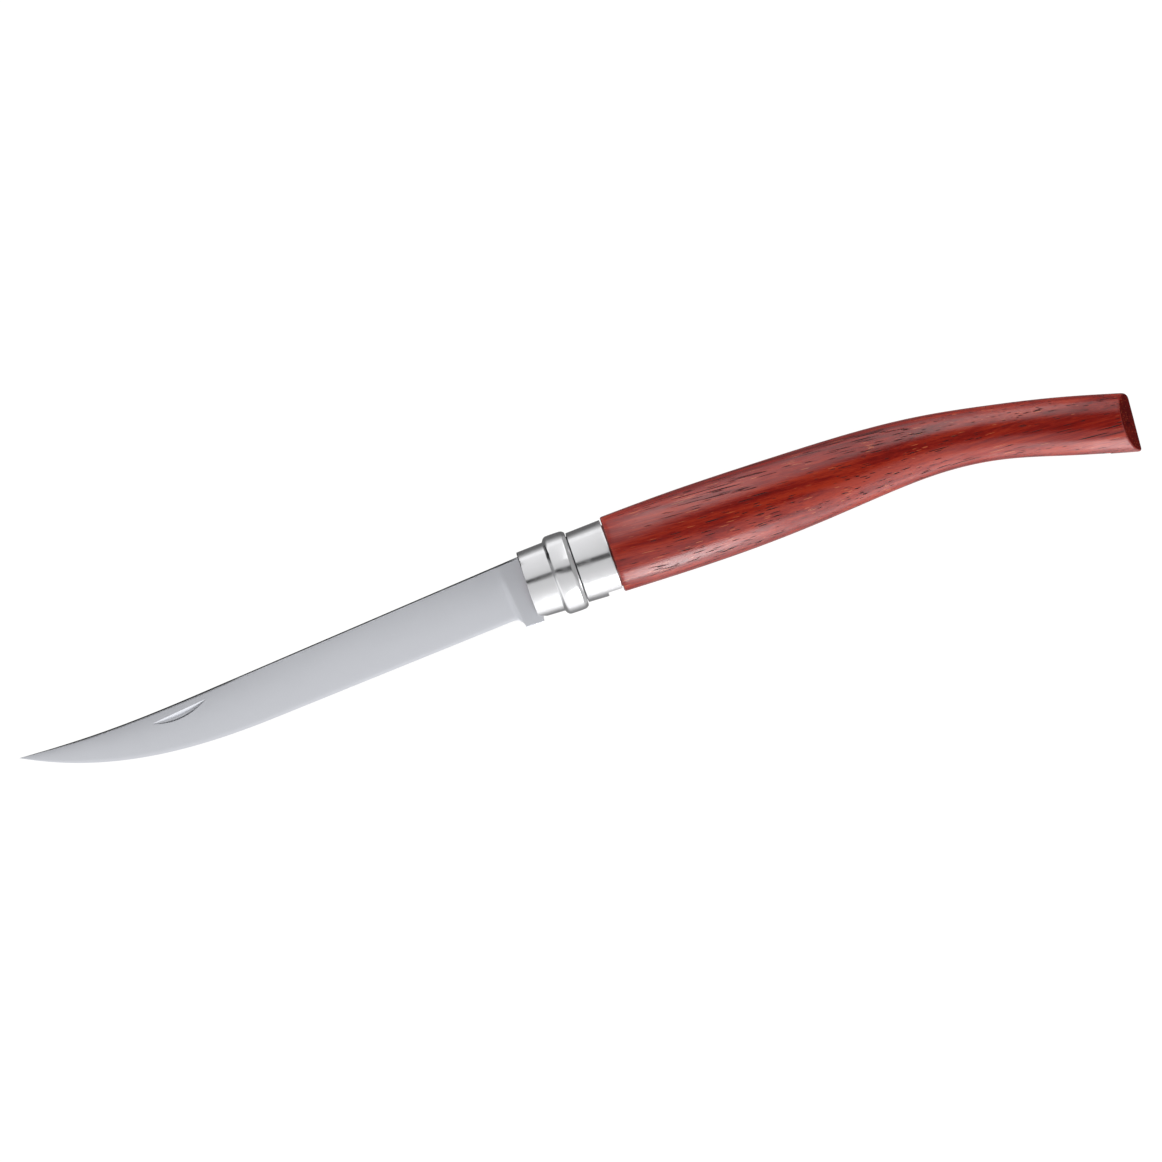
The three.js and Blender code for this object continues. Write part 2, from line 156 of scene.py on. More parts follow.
def addPiece(name, points, faces, sharpAngle):
    mesh = bpy.data.meshes.new(name)
    mesh.from_pydata((np.asarray(points) * millimetre + origin).tolist(), [], faces)
    shadeMesh(mesh, sharpAngle)
    return newObject(name, mesh)


def applyModifiers(piece):
    evaluated = piece.evaluated_get(bpy.context.evaluated_depsgraph_get())
    mesh = bpy.data.meshes.new_from_object(evaluated)
    piece.modifiers.clear()
    piece.data = mesh


def cutAway(piece, cutter, sharpAngle):
    cut = piece.modifiers.new("cut", "BOOLEAN")
    cut.operation = "DIFFERENCE"
    cut.solver = "EXACT"
    cut.object = cutter
    applyModifiers(piece)
    bpy.data.objects.remove(cutter)
    shadeMesh(piece.data, sharpAngle)


def pivotBar(radius, halfLength, facets=48):  # a round cutter along z through the pivot
    turn = np.linspace(0, 2 * math.pi, facets, endpoint=False)
    around = np.stack([pivot[0] + radius * np.cos(turn), pivot[1] + radius * np.sin(turn)], axis=1)
    points = [(x, y, z) for z in (-halfLength, halfLength) for x, y in around]
    faces = ringFaces(2, facets)
    faces += [tuple(range(facets)), tuple(range(facets, 2 * facets))]
    return addPiece("pivotBar", points, faces, cutterSharpAngle)


def finishPiece(piece, body, node, material):
    piece.data.materials.clear()
    piece.data.materials.append(material)
    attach(piece, body)
    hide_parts(node)
    print(piece.name, "has", len(piece.data.polygons), "faces")


# Node trees

def linear(hexColour):  # a screen colour as scene-linear RGBA
    channels = [int(hexColour[i:i + 2], 16) / 255 for i in (0, 2, 4)]
    return [c / 12.92 if c <= 0.04045 else ((c + 0.055) / 1.055) ** 2.4 for c in channels] + [1]


def plug(tree, socket, value):
    if isinstance(value, bpy.types.NodeSocket):
        tree.links.new(value, socket)
    elif value is not None:
        socket.default_value = value


def addNode(tree, kind, inputs=None, **settings):
    node = tree.nodes.new(kind)
    for name, value in settings.items():
        setattr(node, name, value)
    for name, value in (inputs or {}).items():
        plug(tree, node.inputs[name], value)
    return node


def nodeOut(tree, kind, inputs=None, **settings):  # first output of a new node
    return addNode(tree, kind, inputs, **settings).outputs[0]


def calc(tree, operation, first, second=None):
    return nodeOut(tree, "ShaderNodeMath", {0: first, 1: second}, operation=operation)


def times(tree, first, second):
    return calc(tree, "MULTIPLY", first, second)


def plus(tree, first, second):
    return calc(tree, "ADD", first, second)


def minus(tree, first, second):
    return calc(tree, "SUBTRACT", first, second)


def calcVector(tree, operation, first, second):
    return nodeOut(tree, "ShaderNodeVectorMath", {0: first, 1: second}, operation=operation)


def mapRange(tree, value, fromLow, fromHigh, toLow, toHigh, smooth=False):
    values = {"Value": value, "From Min": fromLow, "From Max": fromHigh, "To Min": toLow, "To Max": toHigh}
    kind = "SMOOTHSTEP" if smooth else "LINEAR"
    return nodeOut(tree, "ShaderNodeMapRange", values, interpolation_type=kind)


def mixColour(tree, share, first, second):  # colours go in at sockets 6 and 7 and come out at 2
    node = addNode(tree, "ShaderNodeMix", data_type="RGBA")
    plug(tree, node.inputs[0], share)
    plug(tree, node.inputs[6], first)
    plug(tree, node.inputs[7], second)
    return node.outputs[2]


def stretchedPlace(tree, place, lengths, offset=(0, 0, 0)):  # coordinates counted in a pattern's own lengths
    scale = [1 / (length * millimetre) for length in lengths]
    values = {"Vector": place, "Location": offset, "Scale": scale}
    return nodeOut(tree, "ShaderNodeMapping", values)


noiseMiddle = 0.5  # what a noise varies about


def noise(tree, place, detail, roughness=0.5, distortion=0):
    values = {"Vector": place, "Scale": 1, "Detail": detail, "Roughness": roughness, "Distortion": distortion}
    return addNode(tree, "ShaderNodeTexNoise", values).outputs["Fac"]


def newGroup(name, inputs, outputs):
    tree = bpy.data.node_groups.new(name, "ShaderNodeTree")
    for label, kind in inputs:
        tree.interface.new_socket(label, in_out="INPUT", socket_type=kind)
    for label, kind in outputs:
        tree.interface.new_socket(label, in_out="OUTPUT", socket_type=kind)
    return tree, tree.nodes.new("NodeGroupInput"), tree.nodes.new("NodeGroupOutput")


def newMaterial(name):
    material = bpy.data.materials.new(name)
    material.use_nodes = True
    tree = material.node_tree
    place = addNode(tree, "ShaderNodeTexCoord").outputs["Object"]
    return material, tree, tree.nodes["Principled BSDF"], place


# Effects that several finishes share

def makeGrindLines():  # long fine lines; Lengths says how long one line is along each axis
    tree, given, out = newGroup(
        "grindLines",
        [("Vector", "NodeSocketVector"), ("Lengths", "NodeSocketVector"), ("Contrast", "NodeSocketFloat")],
        [("Tone", "NodeSocketFloat")],
    )
    counted = calcVector(tree, "DIVIDE", given.outputs["Vector"], given.outputs["Lengths"])
    fine = noise(tree, counted, detail=4, roughness=0.7)
    spread = times(tree, minus(tree, fine, noiseMiddle), given.outputs["Contrast"])
    plug(tree, out.inputs["Tone"], plus(tree, spread, noiseMiddle))
    return tree


def makeHandling():  # soft patches left by fingers, from 0 on clean places to 1
    tree, given, out = newGroup(
        "handling",
        [("Vector", "NodeSocketVector"), ("Size", "NodeSocketFloat")],
        [("Mask", "NodeSocketFloat")],
    )
    shrink = calc(tree, "DIVIDE", 1, given.outputs["Size"])
    counted = nodeOut(tree, "ShaderNodeVectorMath", {0: given.outputs["Vector"], "Scale": shrink},
                      operation="SCALE")
    patches = noise(tree, counted, detail=5, roughness=0.6, distortion=0.6)
    clean, touched = 0.42, 0.68
    plug(tree, out.inputs["Mask"], mapRange(tree, patches, clean, touched, 0, 1, smooth=True))
    return tree


def placeGroup(tree, group, inputs):
    node = addNode(tree, "ShaderNodeGroup", node_tree=group)
    for name, value in inputs.items():
        plug(tree, node.inputs[name], value)
    return node.outputs[0]


grindLines = makeGrindLines()
handling = makeHandling()


# Steel

bladeLook = {
    "colour": "e4e6ec", "shade": "d8dae1", "roughness": 0.27, "lines": (0.05, 9, 9), "contrast": 1.1,
    "bump": 0.05, "smudge": 9, "smudgeRoughness": 0.06, "lineRoughness": 0.08, "lineDepth": 0.02,
}
pressedLook = {
    "colour": "e2e2e4", "shade": "d6d6d9", "roughness": 0.13, "lines": (0.07, 14, 14), "contrast": 1,
    "bump": 0.03, "smudge": 5, "smudgeRoughness": 0.08, "lineRoughness": 0.08, "lineDepth": 0.02,
}
pinLook = {
    "colour": "c9c9cc", "shade": "b4b4b8", "roughness": 0.3, "lines": (6, 6, 0.06), "contrast": 1.2,
    "bump": 0.05, "smudge": 4, "smudgeRoughness": 0.1, "lineRoughness": 0.08, "lineDepth": 0.02,
}


def makeSteel(name, look):
    material, tree, steel, place = newMaterial(name)
    lengths = [length * millimetre for length in look["lines"]]
    tone = placeGroup(tree, grindLines, {"Vector": place, "Lengths": lengths, "Contrast": look["contrast"]})
    smudge = placeGroup(tree, handling, {"Vector": place, "Size": look["smudge"] * millimetre})
    shadeTone, colourTone = -0.5, 0.5
    share = mapRange(tree, tone, shadeTone, colourTone, 0, 1)
    colour = mixColour(tree, share, linear(look["shade"]), linear(look["colour"]))
    plug(tree, steel.inputs["Base Color"], colour)
    worn = times(tree, smudge, look["smudgeRoughness"])
    lined = plus(tree, times(tree, tone, look["lineRoughness"]), look["roughness"])
    plug(tree, steel.inputs["Roughness"], plus(tree, lined, worn))
    relief = {"Height": tone, "Strength": look["bump"], "Distance": look["lineDepth"] * millimetre}
    plug(tree, steel.inputs["Normal"], nodeOut(tree, "ShaderNodeBump", relief))
    steel.inputs["Metallic"].default_value = 1
    return material


# Wood: straight grain that leans a little to the edge side, so the bent tail cuts across it

woodLook = {
    "dark": "640b06", "middle": "88150c", "light": "a82e16",
    # the fleck colour is partly pale deposits in the pores and partly painted glints where pore walls catch
    # the light
    "endColour": "4c0a0c", "poreColour": "22060a", "fleckAndGlintColour": "c86a40",
    "lean": 4, "dip": 2.9, "drift": (80, 26, 26), "driftReach": 0.9,
    "streak": (42, 1.3, 1.3), "band": (150, 6, 6), "fibre": (7, 0.17, 0.17), "crowd": (50, 3, 3),
    "streakShare": 0.6, "bandShare": 0.4, "fibreShare": 0.42,
    "darkBelow": 0.36, "lightAbove": 0.64,  # grain values between which the colour runs
    # pores: length and width of the space that each has, and its own widest share of that width
    "longPore": (42, 0.5, 0.26), "middlePore": (21, 0.46, 0.27), "shortPore": (5.5, 0.5, 0.23),
    "fleckAndGlint": (9, 0.45, 0.24), "poreChance": (0.1, 0.8), "poreRim": 0.045,
    "poreShare": 0.95, "fleckAndGlintShare": 0.6, "endShare": 0.75, "endFacing": (0.5, 0.75),
    # how fibres and crowding widen or close the pores: noise from and to, width from and to
    "fibreWidth": (0.35, 0.65, 0.5, 1.4), "crowdWidth": (0.4, 0.6, 0.72, 1.14),
    "roughness": 0.5, "poreRoughness": 0.25, "smudge": 14, "smudgeCoat": 0.85,
    "coat": 1, "poreCoat": 0.25, "endCoat": 0.1, "coatIor": 1.62, "coatRoughness": 0.21,
    "poreDepth": 0.05, "fibreDepth": 0.4,
}
woodOffsets = {  # apart, so that no two patterns follow each other
    "band": (3.1, 0.4, 1.7), "crowd": (2.2, 5.1, 0.6), "fleckAndGlint": (1.7, 6.2, 3.3),
    "longPore": (0, 0, 0), "middlePore": (7.7, 4.1, 2.6), "shortPore": (5.3, 2.9, 8.1),
}


def makePores(tree, place, kind, ragged):  # thin tubes along the grain: a mask, and their depth
    length, width, widest = woodLook[kind]
    counted = stretchedPlace(tree, place, (length, width, width), woodOffsets[kind])
    cells = addNode(tree, "ShaderNodeTexVoronoi", {"Vector": counted, "Scale": 1, "Randomness": 1})
    chance = nodeOut(tree, "ShaderNodeSeparateColor", {"Color": cells.outputs["Color"]})
    reach = mapRange(tree, chance, *woodLook["poreChance"], 0, widest)
    inside = minus(tree, times(tree, reach, ragged), cells.outputs["Distance"])
    mask = mapRange(tree, inside, 0, woodLook["poreRim"], 0, 1, smooth=True)
    return mask, mapRange(tree, inside, 0, widest, 0, 1)


def makeGrain(tree, place):  # coordinates along the grain, fine fibres, and the wood's own colour
    look = woodLook
    turn = (0, math.radians(look["dip"]), math.radians(look["lean"]))
    turned = nodeOut(tree, "ShaderNodeMapping", {"Vector": place, "Rotation": turn})
    drift = noise(tree, stretchedPlace(tree, turned, look["drift"]), detail=1)
    drift = times(tree, minus(tree, drift, noiseMiddle), 2 * look["driftReach"] * millimetre)
    drift = nodeOut(tree, "ShaderNodeCombineXYZ", {1: drift, 2: drift})
    along = calcVector(tree, "ADD", turned, drift)
    streakPlace = stretchedPlace(tree, along, look["streak"])
    streak = noise(tree, streakPlace, detail=5, roughness=0.55, distortion=0.3)
    band = noise(tree, stretchedPlace(tree, along, look["band"], woodOffsets["band"]), detail=2)
    fibre = noise(tree, stretchedPlace(tree, along, look["fibre"]), detail=3, roughness=0.6)
    streak = times(tree, streak, look["streakShare"])
    grain = plus(tree, streak, times(tree, band, look["bandShare"]))
    fine = times(tree, minus(tree, fibre, noiseMiddle), look["fibreShare"])
    ramp = addNode(tree, "ShaderNodeValToRGB", {"Fac": plus(tree, grain, fine)})
    first, last = ramp.color_ramp.elements
    first.position, last.position = look["darkBelow"], look["lightAbove"]
    first.color, last.color = linear(look["dark"]), linear(look["light"])
    middle = (look["darkBelow"] + look["lightAbove"]) / 2
    ramp.color_ramp.elements.new(middle).color = linear(look["middle"])
    return along, fibre, ramp.outputs["Color"]


def makeWood():
    look = woodLook
    material, tree, wood, place = newMaterial("redWood")
    along, fibre, colour = makeGrain(tree, place)
    crowd = noise(tree, stretchedPlace(tree, along, look["crowd"], woodOffsets["crowd"]), detail=2)
    crowd = mapRange(tree, crowd, *look["crowdWidth"])
    ragged = times(tree, mapRange(tree, fibre, *look["fibreWidth"]), crowd)
    pore = groove = 0
    for kind in ("longPore", "middlePore", "shortPore"):
        mask, deep = makePores(tree, along, kind, ragged)
        pore = calc(tree, "MAXIMUM", pore, mask)
        groove = calc(tree, "MAXIMUM", groove, deep)
    # light flecks along the grain: partly pale deposits in the pores, partly painted glints of pore walls
    # catching the light
    fleckAndGlint, _ = makePores(tree, along, "fleckAndGlint", ragged)
    # across the grain, at the butt, the wood is dark and dull
    facing = addNode(tree, "ShaderNodeTexCoord").outputs["Normal"]
    acrossGrain = nodeOut(tree, "ShaderNodeSeparateXYZ", {0: facing})
    end = mapRange(tree, acrossGrain, *look["endFacing"], 0, 1, smooth=True)
    for mask, name in ((end, "end"), (fleckAndGlint, "fleckAndGlint"), (pore, "pore")):
        share = times(tree, mask, look[name + "Share"])
        colour = mixColour(tree, share, colour, linear(look[name + "Colour"]))
    plug(tree, wood.inputs["Base Color"], colour)
    rough = plus(tree, look["roughness"], times(tree, pore, look["poreRoughness"]))
    plug(tree, wood.inputs["Roughness"], rough)
    smudge = placeGroup(tree, handling, {"Vector": place, "Size": look["smudge"] * millimetre})
    polish = mapRange(tree, end, 0, 1, look["coat"], look["endCoat"])
    polish = times(tree, polish, mapRange(tree, pore, 0, 1, 1, look["poreCoat"]))
    polish = times(tree, polish, mapRange(tree, smudge, 0, 1, 1, look["smudgeCoat"]))
    plug(tree, wood.inputs["Coat Weight"], polish)
    height = minus(tree, times(tree, fibre, look["fibreDepth"]), groove)
    relief = {"Height": height, "Strength": 1, "Distance": look["poreDepth"] * millimetre}
    bump = nodeOut(tree, "ShaderNodeBump", relief)
    plug(tree, wood.inputs["Normal"], bump)
    plug(tree, wood.inputs["Coat Normal"], bump)
    wood.inputs["Specular IOR Level"].default_value = 0
    wood.inputs["Coat IOR"].default_value = look["coatIor"]
    wood.inputs["Coat Roughness"].default_value = look["coatRoughness"]
    return material


bladeSteel = makeSteel("satinBladeSteel", bladeLook)
pressedSteel = makeSteel("polishedPressedSteel", pressedLook)
pinSteel = makeSteel("drawnPinSteel", pinLook)
redWood = makeWood()
print("finishes made")


# Blade: one mesh from the point to the tang, then the pivot hole and the nail nick cut out of it

bladeShape = {
    "length": 120,  # ring's front edge to the point
    "pointHeight": 0.7, "spineHeight": 6.72, "spineFall": 0.0721,
    "clipLength": 43, "clipRise": 0.058, "clipReach": 15.6, "clipPull": 17.5,
    "edgeDepth": 6.58, "edgeFall": 0.0515,
    "bellyLength": 58, "bellyRise": 0.545, "bellyReach": 19.1, "bellyPull": 19,
    "thickness": 1.8, "pointThickness": 0.9, "pointFade": 6, "flatTaper": 0.3,
    "edgeThickness": 0.05, "edgeBevel": 0.6, "edgeShoulder": 0.36,
    "corner": 0.6, "spineCorner": 0.75, "rimCorner": 0.18, "thinCorner": 0.9,
    "flankCrown": 0.012, "hold": 0.06,
    "plungeMiddle": -5.2, "plungeHeight": 4.2, "plungeHalf": 0.8, "plungeLean": 0.09,
    "kickDepth": 8.85, "kickFront": 3.2, "kickRear": 1, "kickLean": 0.3, "kickRound": 0.25,
    "shoulder": 0.25, "shoulderEase": 0.45, "easeFront": 0.1,
    "tangRadius": 5.2, "holeRadius": 1.65,
    "tipBlunt": 0.06, "stations": 150, "stationPower": 1.25, "choilStations": 24, "tangPoints": 41,
    "cornerSteps": 9, "flankSteps": 14, "sharpAngle": 11,
}
nickShape = {
    "fromPoint": 37.2, "belowSpine": 1.9, "length": 13.4, "tilt": 0.1, "proud": 0.15,
    "stations": 97, "endShare": 0.99,
    # across the middle of the nick, below its straight border: a bright wall, the floor and a low steep wall
    "across": [(0, 0), (0.68, -0.5), (1.3, -0.28), (1.64, 0)],
}
choilRadius = bladeShape["kickDepth"] - bladeShape["edgeDepth"]
choilX = -bladeShape["kickFront"] - choilRadius


def spineY(x):
    return bladeShape["spineHeight"] + bladeShape["spineFall"] * x


def edgeY(x):
    return -bladeShape["edgeDepth"] + bladeShape["edgeFall"] * (x - choilX)


def sweptLine(straight, kind, count=240):  # from the point along a curve into a straight run
    length, rise, reach, pull = (bladeShape[kind + part] for part in ("Length", "Rise", "Reach", "Pull"))
    x, y = -bladeShape["length"], bladeShape["pointHeight"]
    end = x + length
    before = end - pull
    controls = [(x, y), (x + reach, y - rise * reach), (before, straight(before)), (end, straight(end))]
    return np.vstack([bezier(controls, count), [(pivot[0], straight(pivot[0]))]])


spineLine = sweptLine(spineY, "clip")
edgeLine = sweptLine(edgeY, "belly")


def spineAt(x):
    return np.interp(x, spineLine[:, 0], spineLine[:, 1])


def bottomAt(x):  # cutting edge, then the round choil down to the kick
    if x <= choilX:
        return np.interp(x, edgeLine[:, 0], edgeLine[:, 1])
    return -bladeShape["kickDepth"] + math.sqrt(max(0, choilRadius ** 2 - (x - choilX) ** 2))


def spineSide(x):
    share = np.clip(-x / bladeShape["length"], 0, 1)
    return mix(bladeShape["thickness"], bladeShape["pointThickness"], share) / 2


def squareShare(x, y):  # 0 on the ground flank, 1 on the flat ricasso; the run-out leans back below
    b = bladeShape
    middle = b["plungeMiddle"] + b["plungeLean"] * (b["plungeHeight"] - y)
    return smoothStep(middle - b["plungeHalf"], middle + b["plungeHalf"], x)


def flankSide(x, y):  # half thickness of the ground flank at a height
    b = bladeShape
    top, bottom = spineAt(x), bottomAt(x)
    fade = min(1, (top - bottom) / b["pointFade"])
    start, end = top - b["corner"] * fade, bottom + b["edgeBevel"] * fade
    down = np.clip((start - y) / (start - end), 0, 1)
    side = mix(spineSide(x), b["edgeShoulder"] / 2, down) * fade
    return side + b["flankCrown"] * (top - bottom) * 4 * down * (1 - down)


def flatSide(y):  # half thickness of the ricasso and the tang
    b = bladeShape
    down = (b["spineHeight"] - y) / (b["spineHeight"] + b["kickDepth"])
    return b["thickness"] / 2 - b["flatTaper"] * down ** 2


def bladeHalf(x):  # (y, z) down the near side of one section, from mid spine to mid edge
    b = bladeShape
    top, bottom = spineAt(x), bottomAt(x)
    fade = min(1, (top - bottom) / b["pointFade"])
    arc = np.linspace(0, math.pi / 2, b["cornerSteps"])
    atTop, atBottom = squareShare(x, top), squareShare(x, bottom)
    side = spineSide(x) * fade
    corner = mix(min(b["corner"], b["thinCorner"] * side), b["spineCorner"], atTop)
    down = top - corner + corner * np.cos(arc)
    crown = np.stack([down, mix(side, flatSide(down), atTop) - corner + corner * np.sin(arc)], axis=1)
    share = np.linspace(0, 1, b["cornerSteps"] + 1)
    ground = np.stack([mix(bottom + b["edgeBevel"] * fade, bottom, share),
                       mix(b["edgeShoulder"], b["edgeThickness"], share) / 2 * fade], axis=1)
    rim = b["rimCorner"]
    up = np.concatenate([[bottom + rim + b["hold"]], bottom + rim - rim * np.sin(arc)])
    depth = np.concatenate([[0], rim - rim * np.cos(arc)])
    lower = mix(ground, np.stack([up, flatSide(up) - depth], axis=1), atBottom)
    start = top - corner
    even = np.linspace(start, lower[0, 0], b["flankSteps"] + 2)[1:-1]
    down = np.concatenate([[start - b["hold"] * fade], even])
    flank = np.stack([down, mix(flankSide(x, down), flatSide(down), squareShare(x, down))], axis=1)
    return np.vstack([[(top, 0)], crown, flank, lower, [(bottom, 0)]])


def tangOutline():  # from the spine over the tang's round end to the bottom of the kick
    b = bladeShape
    front = -b["kickFront"]
    radius = b["tangRadius"]
    arc = np.linspace(math.pi / 2, -math.pi / 2, b["tangPoints"])
    high, low = pivot[1] + radius, pivot[1] - radius
    corners = [
        (front, spineY(front), 0),
        (-b["easeFront"], spineY(-b["easeFront"]), 0),
        (b["shoulder"], spineY(b["shoulder"]) - b["shoulderEase"], 0),
        (b["shoulder"], high, 0),
    ]
    corners += [(pivot[0] + radius * math.cos(t), pivot[1] + radius * math.sin(t), 0) for t in arc]
    corners += [
        (b["kickRear"] + b["kickLean"], low, 0),
        (b["kickRear"], -b["kickDepth"], b["kickRound"]),
        (front, -b["kickDepth"], 0),
    ]
    return roundedLine(corners)


def makeBladeMesh():
    b = bladeShape
    ground = np.linspace(0, 1, b["stations"]) ** b["stationPower"]
    xs = list(mix(-b["length"] + b["tipBlunt"], choilX, ground))
    xs += list(choilX + choilRadius * np.sin(np.linspace(0, math.pi / 2, b["choilStations"])[1:]))
    halves = [bladeHalf(x) for x in xs]
    inHalf = len(halves[0])
    points = []
    for x, half in zip(xs, halves):
        points += [(x, y, z) for y, z in half]
        points += [(x, y, -z) for y, z in half[-2:0:-1]]
    count = 2 * inHalf - 2
    faces = ringFaces(len(xs), count)
    faces.append(tuple(range(count)))
    lastRing = (len(xs) - 1) * count
    # ricasso, kick and tang: an outline with round edges and flat sides that share the last section's points
    outline = tangOutline()
    corner = np.full(len(outline), b["rimCorner"])
    corner[:2] = b["spineCorner"]
    arc = np.linspace(0, math.pi / 2, b["cornerSteps"])
    # rows of points: distance from the outline, depth below the flat, which side
    rows = [(corner + b["hold"], 0 * corner, 1)]
    rows += [(corner - corner * math.cos(t), corner - corner * math.sin(t), 1) for t in arc[::-1]]
    rows += [(0 * corner, 0 * corner, 0)]
    rows += [(distance, depth, -1) for distance, depth, _ in rows[-2::-1]]
    first = len(points)
    for distance, depth, side in rows:
        points += [(x, y, side * (flatSide(y) - d)) for (x, y), d in zip(inset(outline, distance), depth)]
    inRow = len(outline)
    for r in range(len(rows) - 1):
        for k in range(inRow - 1):
            here = first + r * inRow + k
            faces.append((here, here + 1, here + inRow + 1, here + inRow))
    upper, lower = b["cornerSteps"] + 1, inHalf - b["cornerSteps"] - 2
    near = [lastRing + k for k in range(lower - 1, upper, -1)]
    far = [lastRing + count - k for k in range(lower - 1, upper, -1)]
    faces.append(tuple(range(first, first + inRow)) + tuple(near))
    last = first + (len(rows) - 1) * inRow
    faces.append(tuple(range(last, last + inRow)) + tuple(far))
    return addPiece("blade_ground", points, faces, b["sharpAngle"])


def makeNickCutter():  # sections that swell between pointed ends, straight along the top
    n = nickShape
    middle = -bladeShape["length"] + n["fromPoint"]
    border = spineAt(middle) - n["belowSpine"]
    (_, _), (wall, depth), (floor, rise), (width, _) = n["across"]
    high = n["proud"]
    points = []
    for place in np.linspace(-n["endShare"], n["endShare"], n["stations"]):
        x = middle + place * n["length"] / 2
        top = border + n["tilt"] * (x - middle)
        swell = 1 - place ** 2
        for down, deep in (
            (-high * wall / -depth, high),
            (wall * swell, depth * swell),
            (floor * swell, rise * swell),
            (width * swell + high * (width - floor) / -rise, high),
        ):
            y = top - down
            points.append((x, y, flankSide(x, y) + deep))
    faces = ringFaces(n["stations"], 4)
    faces += [(0, 1, 2, 3), tuple(range(len(points) - 4, len(points)))]
    return addPiece("nickCutter", points, faces, cutterSharpAngle)


blade = makeBladeMesh()
cutAway(blade, pivotBar(bladeShape["holeRadius"], bladeShape["thickness"]), bladeShape["sharpAngle"])
cutAway(blade, makeNickCutter(), bladeShape["sharpAngle"])
finishPiece(blade, "blade", "blade", bladeSteel)


# Ring and collar: one Geometry Nodes tree rolls a wall's profile round the axis, open below

ringExtra = 0.12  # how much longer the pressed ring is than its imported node
ringShape = {
    "radius": 7.7, "coneSlope": 0.042, "wall": 0.65, "length": nodeLength("locking_ring") + ringExtra,
    "beadFront": 6.2, "beadCrest": 9.05, "crestFront": 7.45, "crestRun": 1.25, "crown": 0.03, "beadFoot": 0.3,
    # the bead's curves: how far their control points reach, as shares or as (length, share of the height)
    "backRise": 0.5, "backRun": 0.6, "frontRun": 0.6, "frontBend": (0.35, 0.65), "frontFoot": (0.13, 0.27),
    "footHold": 0.5, "backPoints": 22, "crownPoints": 14, "frontPoints": 24,
    "channelFront": 6.55, "lipRadius": 7.55, "lipLength": 0.45,
    "split": 3, "cornerCut": 1.9, "cornerWidth": 2.1, "rampStart": 1.95, "rampEnd": 1.45, "rampTurn": 110,
    "flare": 0.04, "flareTurn": 62, "edgeRound": 0.2, "innerRound": 0.1, "columns": 401, "sharpAngle": 35,
}
collarShape = {
    "setback": 0.6, "wall": 0.7, "clearance": 0.15, "length": nodeRear("fixed_collar"),
    "lipPlay": 0.2, "ribLength": 2.85, "ribSlope": 0.5, "groove": 0.22, "grooveRadius": 7.4,
    "coneRadius": 8.2, "coneStep": 0.15, "slot": 3, "notchLength": 3.3, "notchHalfWidth": 4,
    "edgeRound": 0.12, "pinHole": 1.6, "columns": 401, "sharpAngle": 35,
}
ribRear = ringShape["length"] - ringShape["lipLength"] - collarShape["lipPlay"]
ribFront = ribRear - collarShape["ribLength"]
coneFront = ringShape["length"] + collarShape["groove"]


def ringOutside(x):
    return ringShape["radius"] + ringShape["coneSlope"] * x


def collarOutside(x):
    return ringOutside(x) - ringShape["wall"] - collarShape["clearance"]


def rearOutside(x):
    return collarShape["coneRadius"] + ringShape["coneSlope"] * (x - coneFront)


def ringProfile():  # (x, radius), inside from front to rear and back along the outside
    r = ringShape
    rear, crest, wall, lip = r["length"], r["beadCrest"], r["wall"], r["lipRadius"]
    channelFront, channel = r["channelFront"], crest - wall
    lipFront = rear - r["lipLength"]
    small = r["innerRound"]
    corners = [
        (0, ringOutside(0) - wall, small),
        (channelFront, ringOutside(channelFront) - wall, 0),
        (channelFront + wall, channel, 0),
        (lipFront, channel, 0),
        (lipFront, lip, small),
        (rear, lip, small),
    ]
    # the bead: a round back, a slightly crowned top and a steeper front
    crestFront, crestRear, shoulder = r["crestFront"], rear - r["crestRun"], crest - r["crown"]
    back = bezier([(rear, lip + wall), (rear, mix(lip + wall, shoulder, r["backRise"])),
                   (mix(crestRear, rear, r["backRun"]), shoulder), (crestRear, shoulder)], r["backPoints"])
    along = np.linspace(crestRear, crestFront, r["crownPoints"])[1:-1]
    middle, half = (crestRear + crestFront) / 2, (crestRear - crestFront) / 2
    top = np.stack([along, crest - r["crown"] * ((along - middle) / half) ** 2], axis=1)
    beadFront, foot = r["beadFront"], ringOutside(r["beadFront"])
    controls = [(crestFront, shoulder), (crestFront - r["frontRun"], shoulder)]
    for run, rise in (r["frontBend"], r["frontFoot"]):
        controls.append((beadFront + run, mix(foot, shoulder, rise)))
    front = bezier(controls, r["frontPoints"])
    corners += [(x, y, 0) for x, y in np.vstack([back, top, front])]
    cone = beadFront - r["footHold"]
    corners += [(beadFront, foot, r["beadFoot"]), (cone, ringOutside(cone), 0)]
    corners += [(0, ringOutside(0), r["edgeRound"])]
    return roundedLine(corners)


def collarProfile():
    c = collarShape
    step = coneFront - c["coneStep"]
    crest = ringShape["beadCrest"] - ringShape["wall"] - c["clearance"]
    innerRear = coneFront + c["wall"]
    edge = c["edgeRound"]
    corners = [
        (c["setback"], collarOutside(c["setback"]) - c["wall"], edge),
        (step + c["wall"], c["grooveRadius"] - c["wall"], 0),
        (innerRear, rearOutside(innerRear) - c["wall"], 0),
        (c["length"], rearOutside(c["length"]) - c["wall"], edge),
        (c["length"], rearOutside(c["length"]), edge),
        (coneFront, rearOutside(coneFront), edge),
        (step, c["grooveRadius"], edge),
        (ribRear, c["grooveRadius"], edge),
        (ribRear - c["ribSlope"], crest, edge),
        (ribFront + c["ribSlope"], crest, edge),
        (ribFront, collarOutside(ribFront), edge),
        (c["setback"], collarOutside(c["setback"]), edge),
    ]
    return roundedLine(corners)


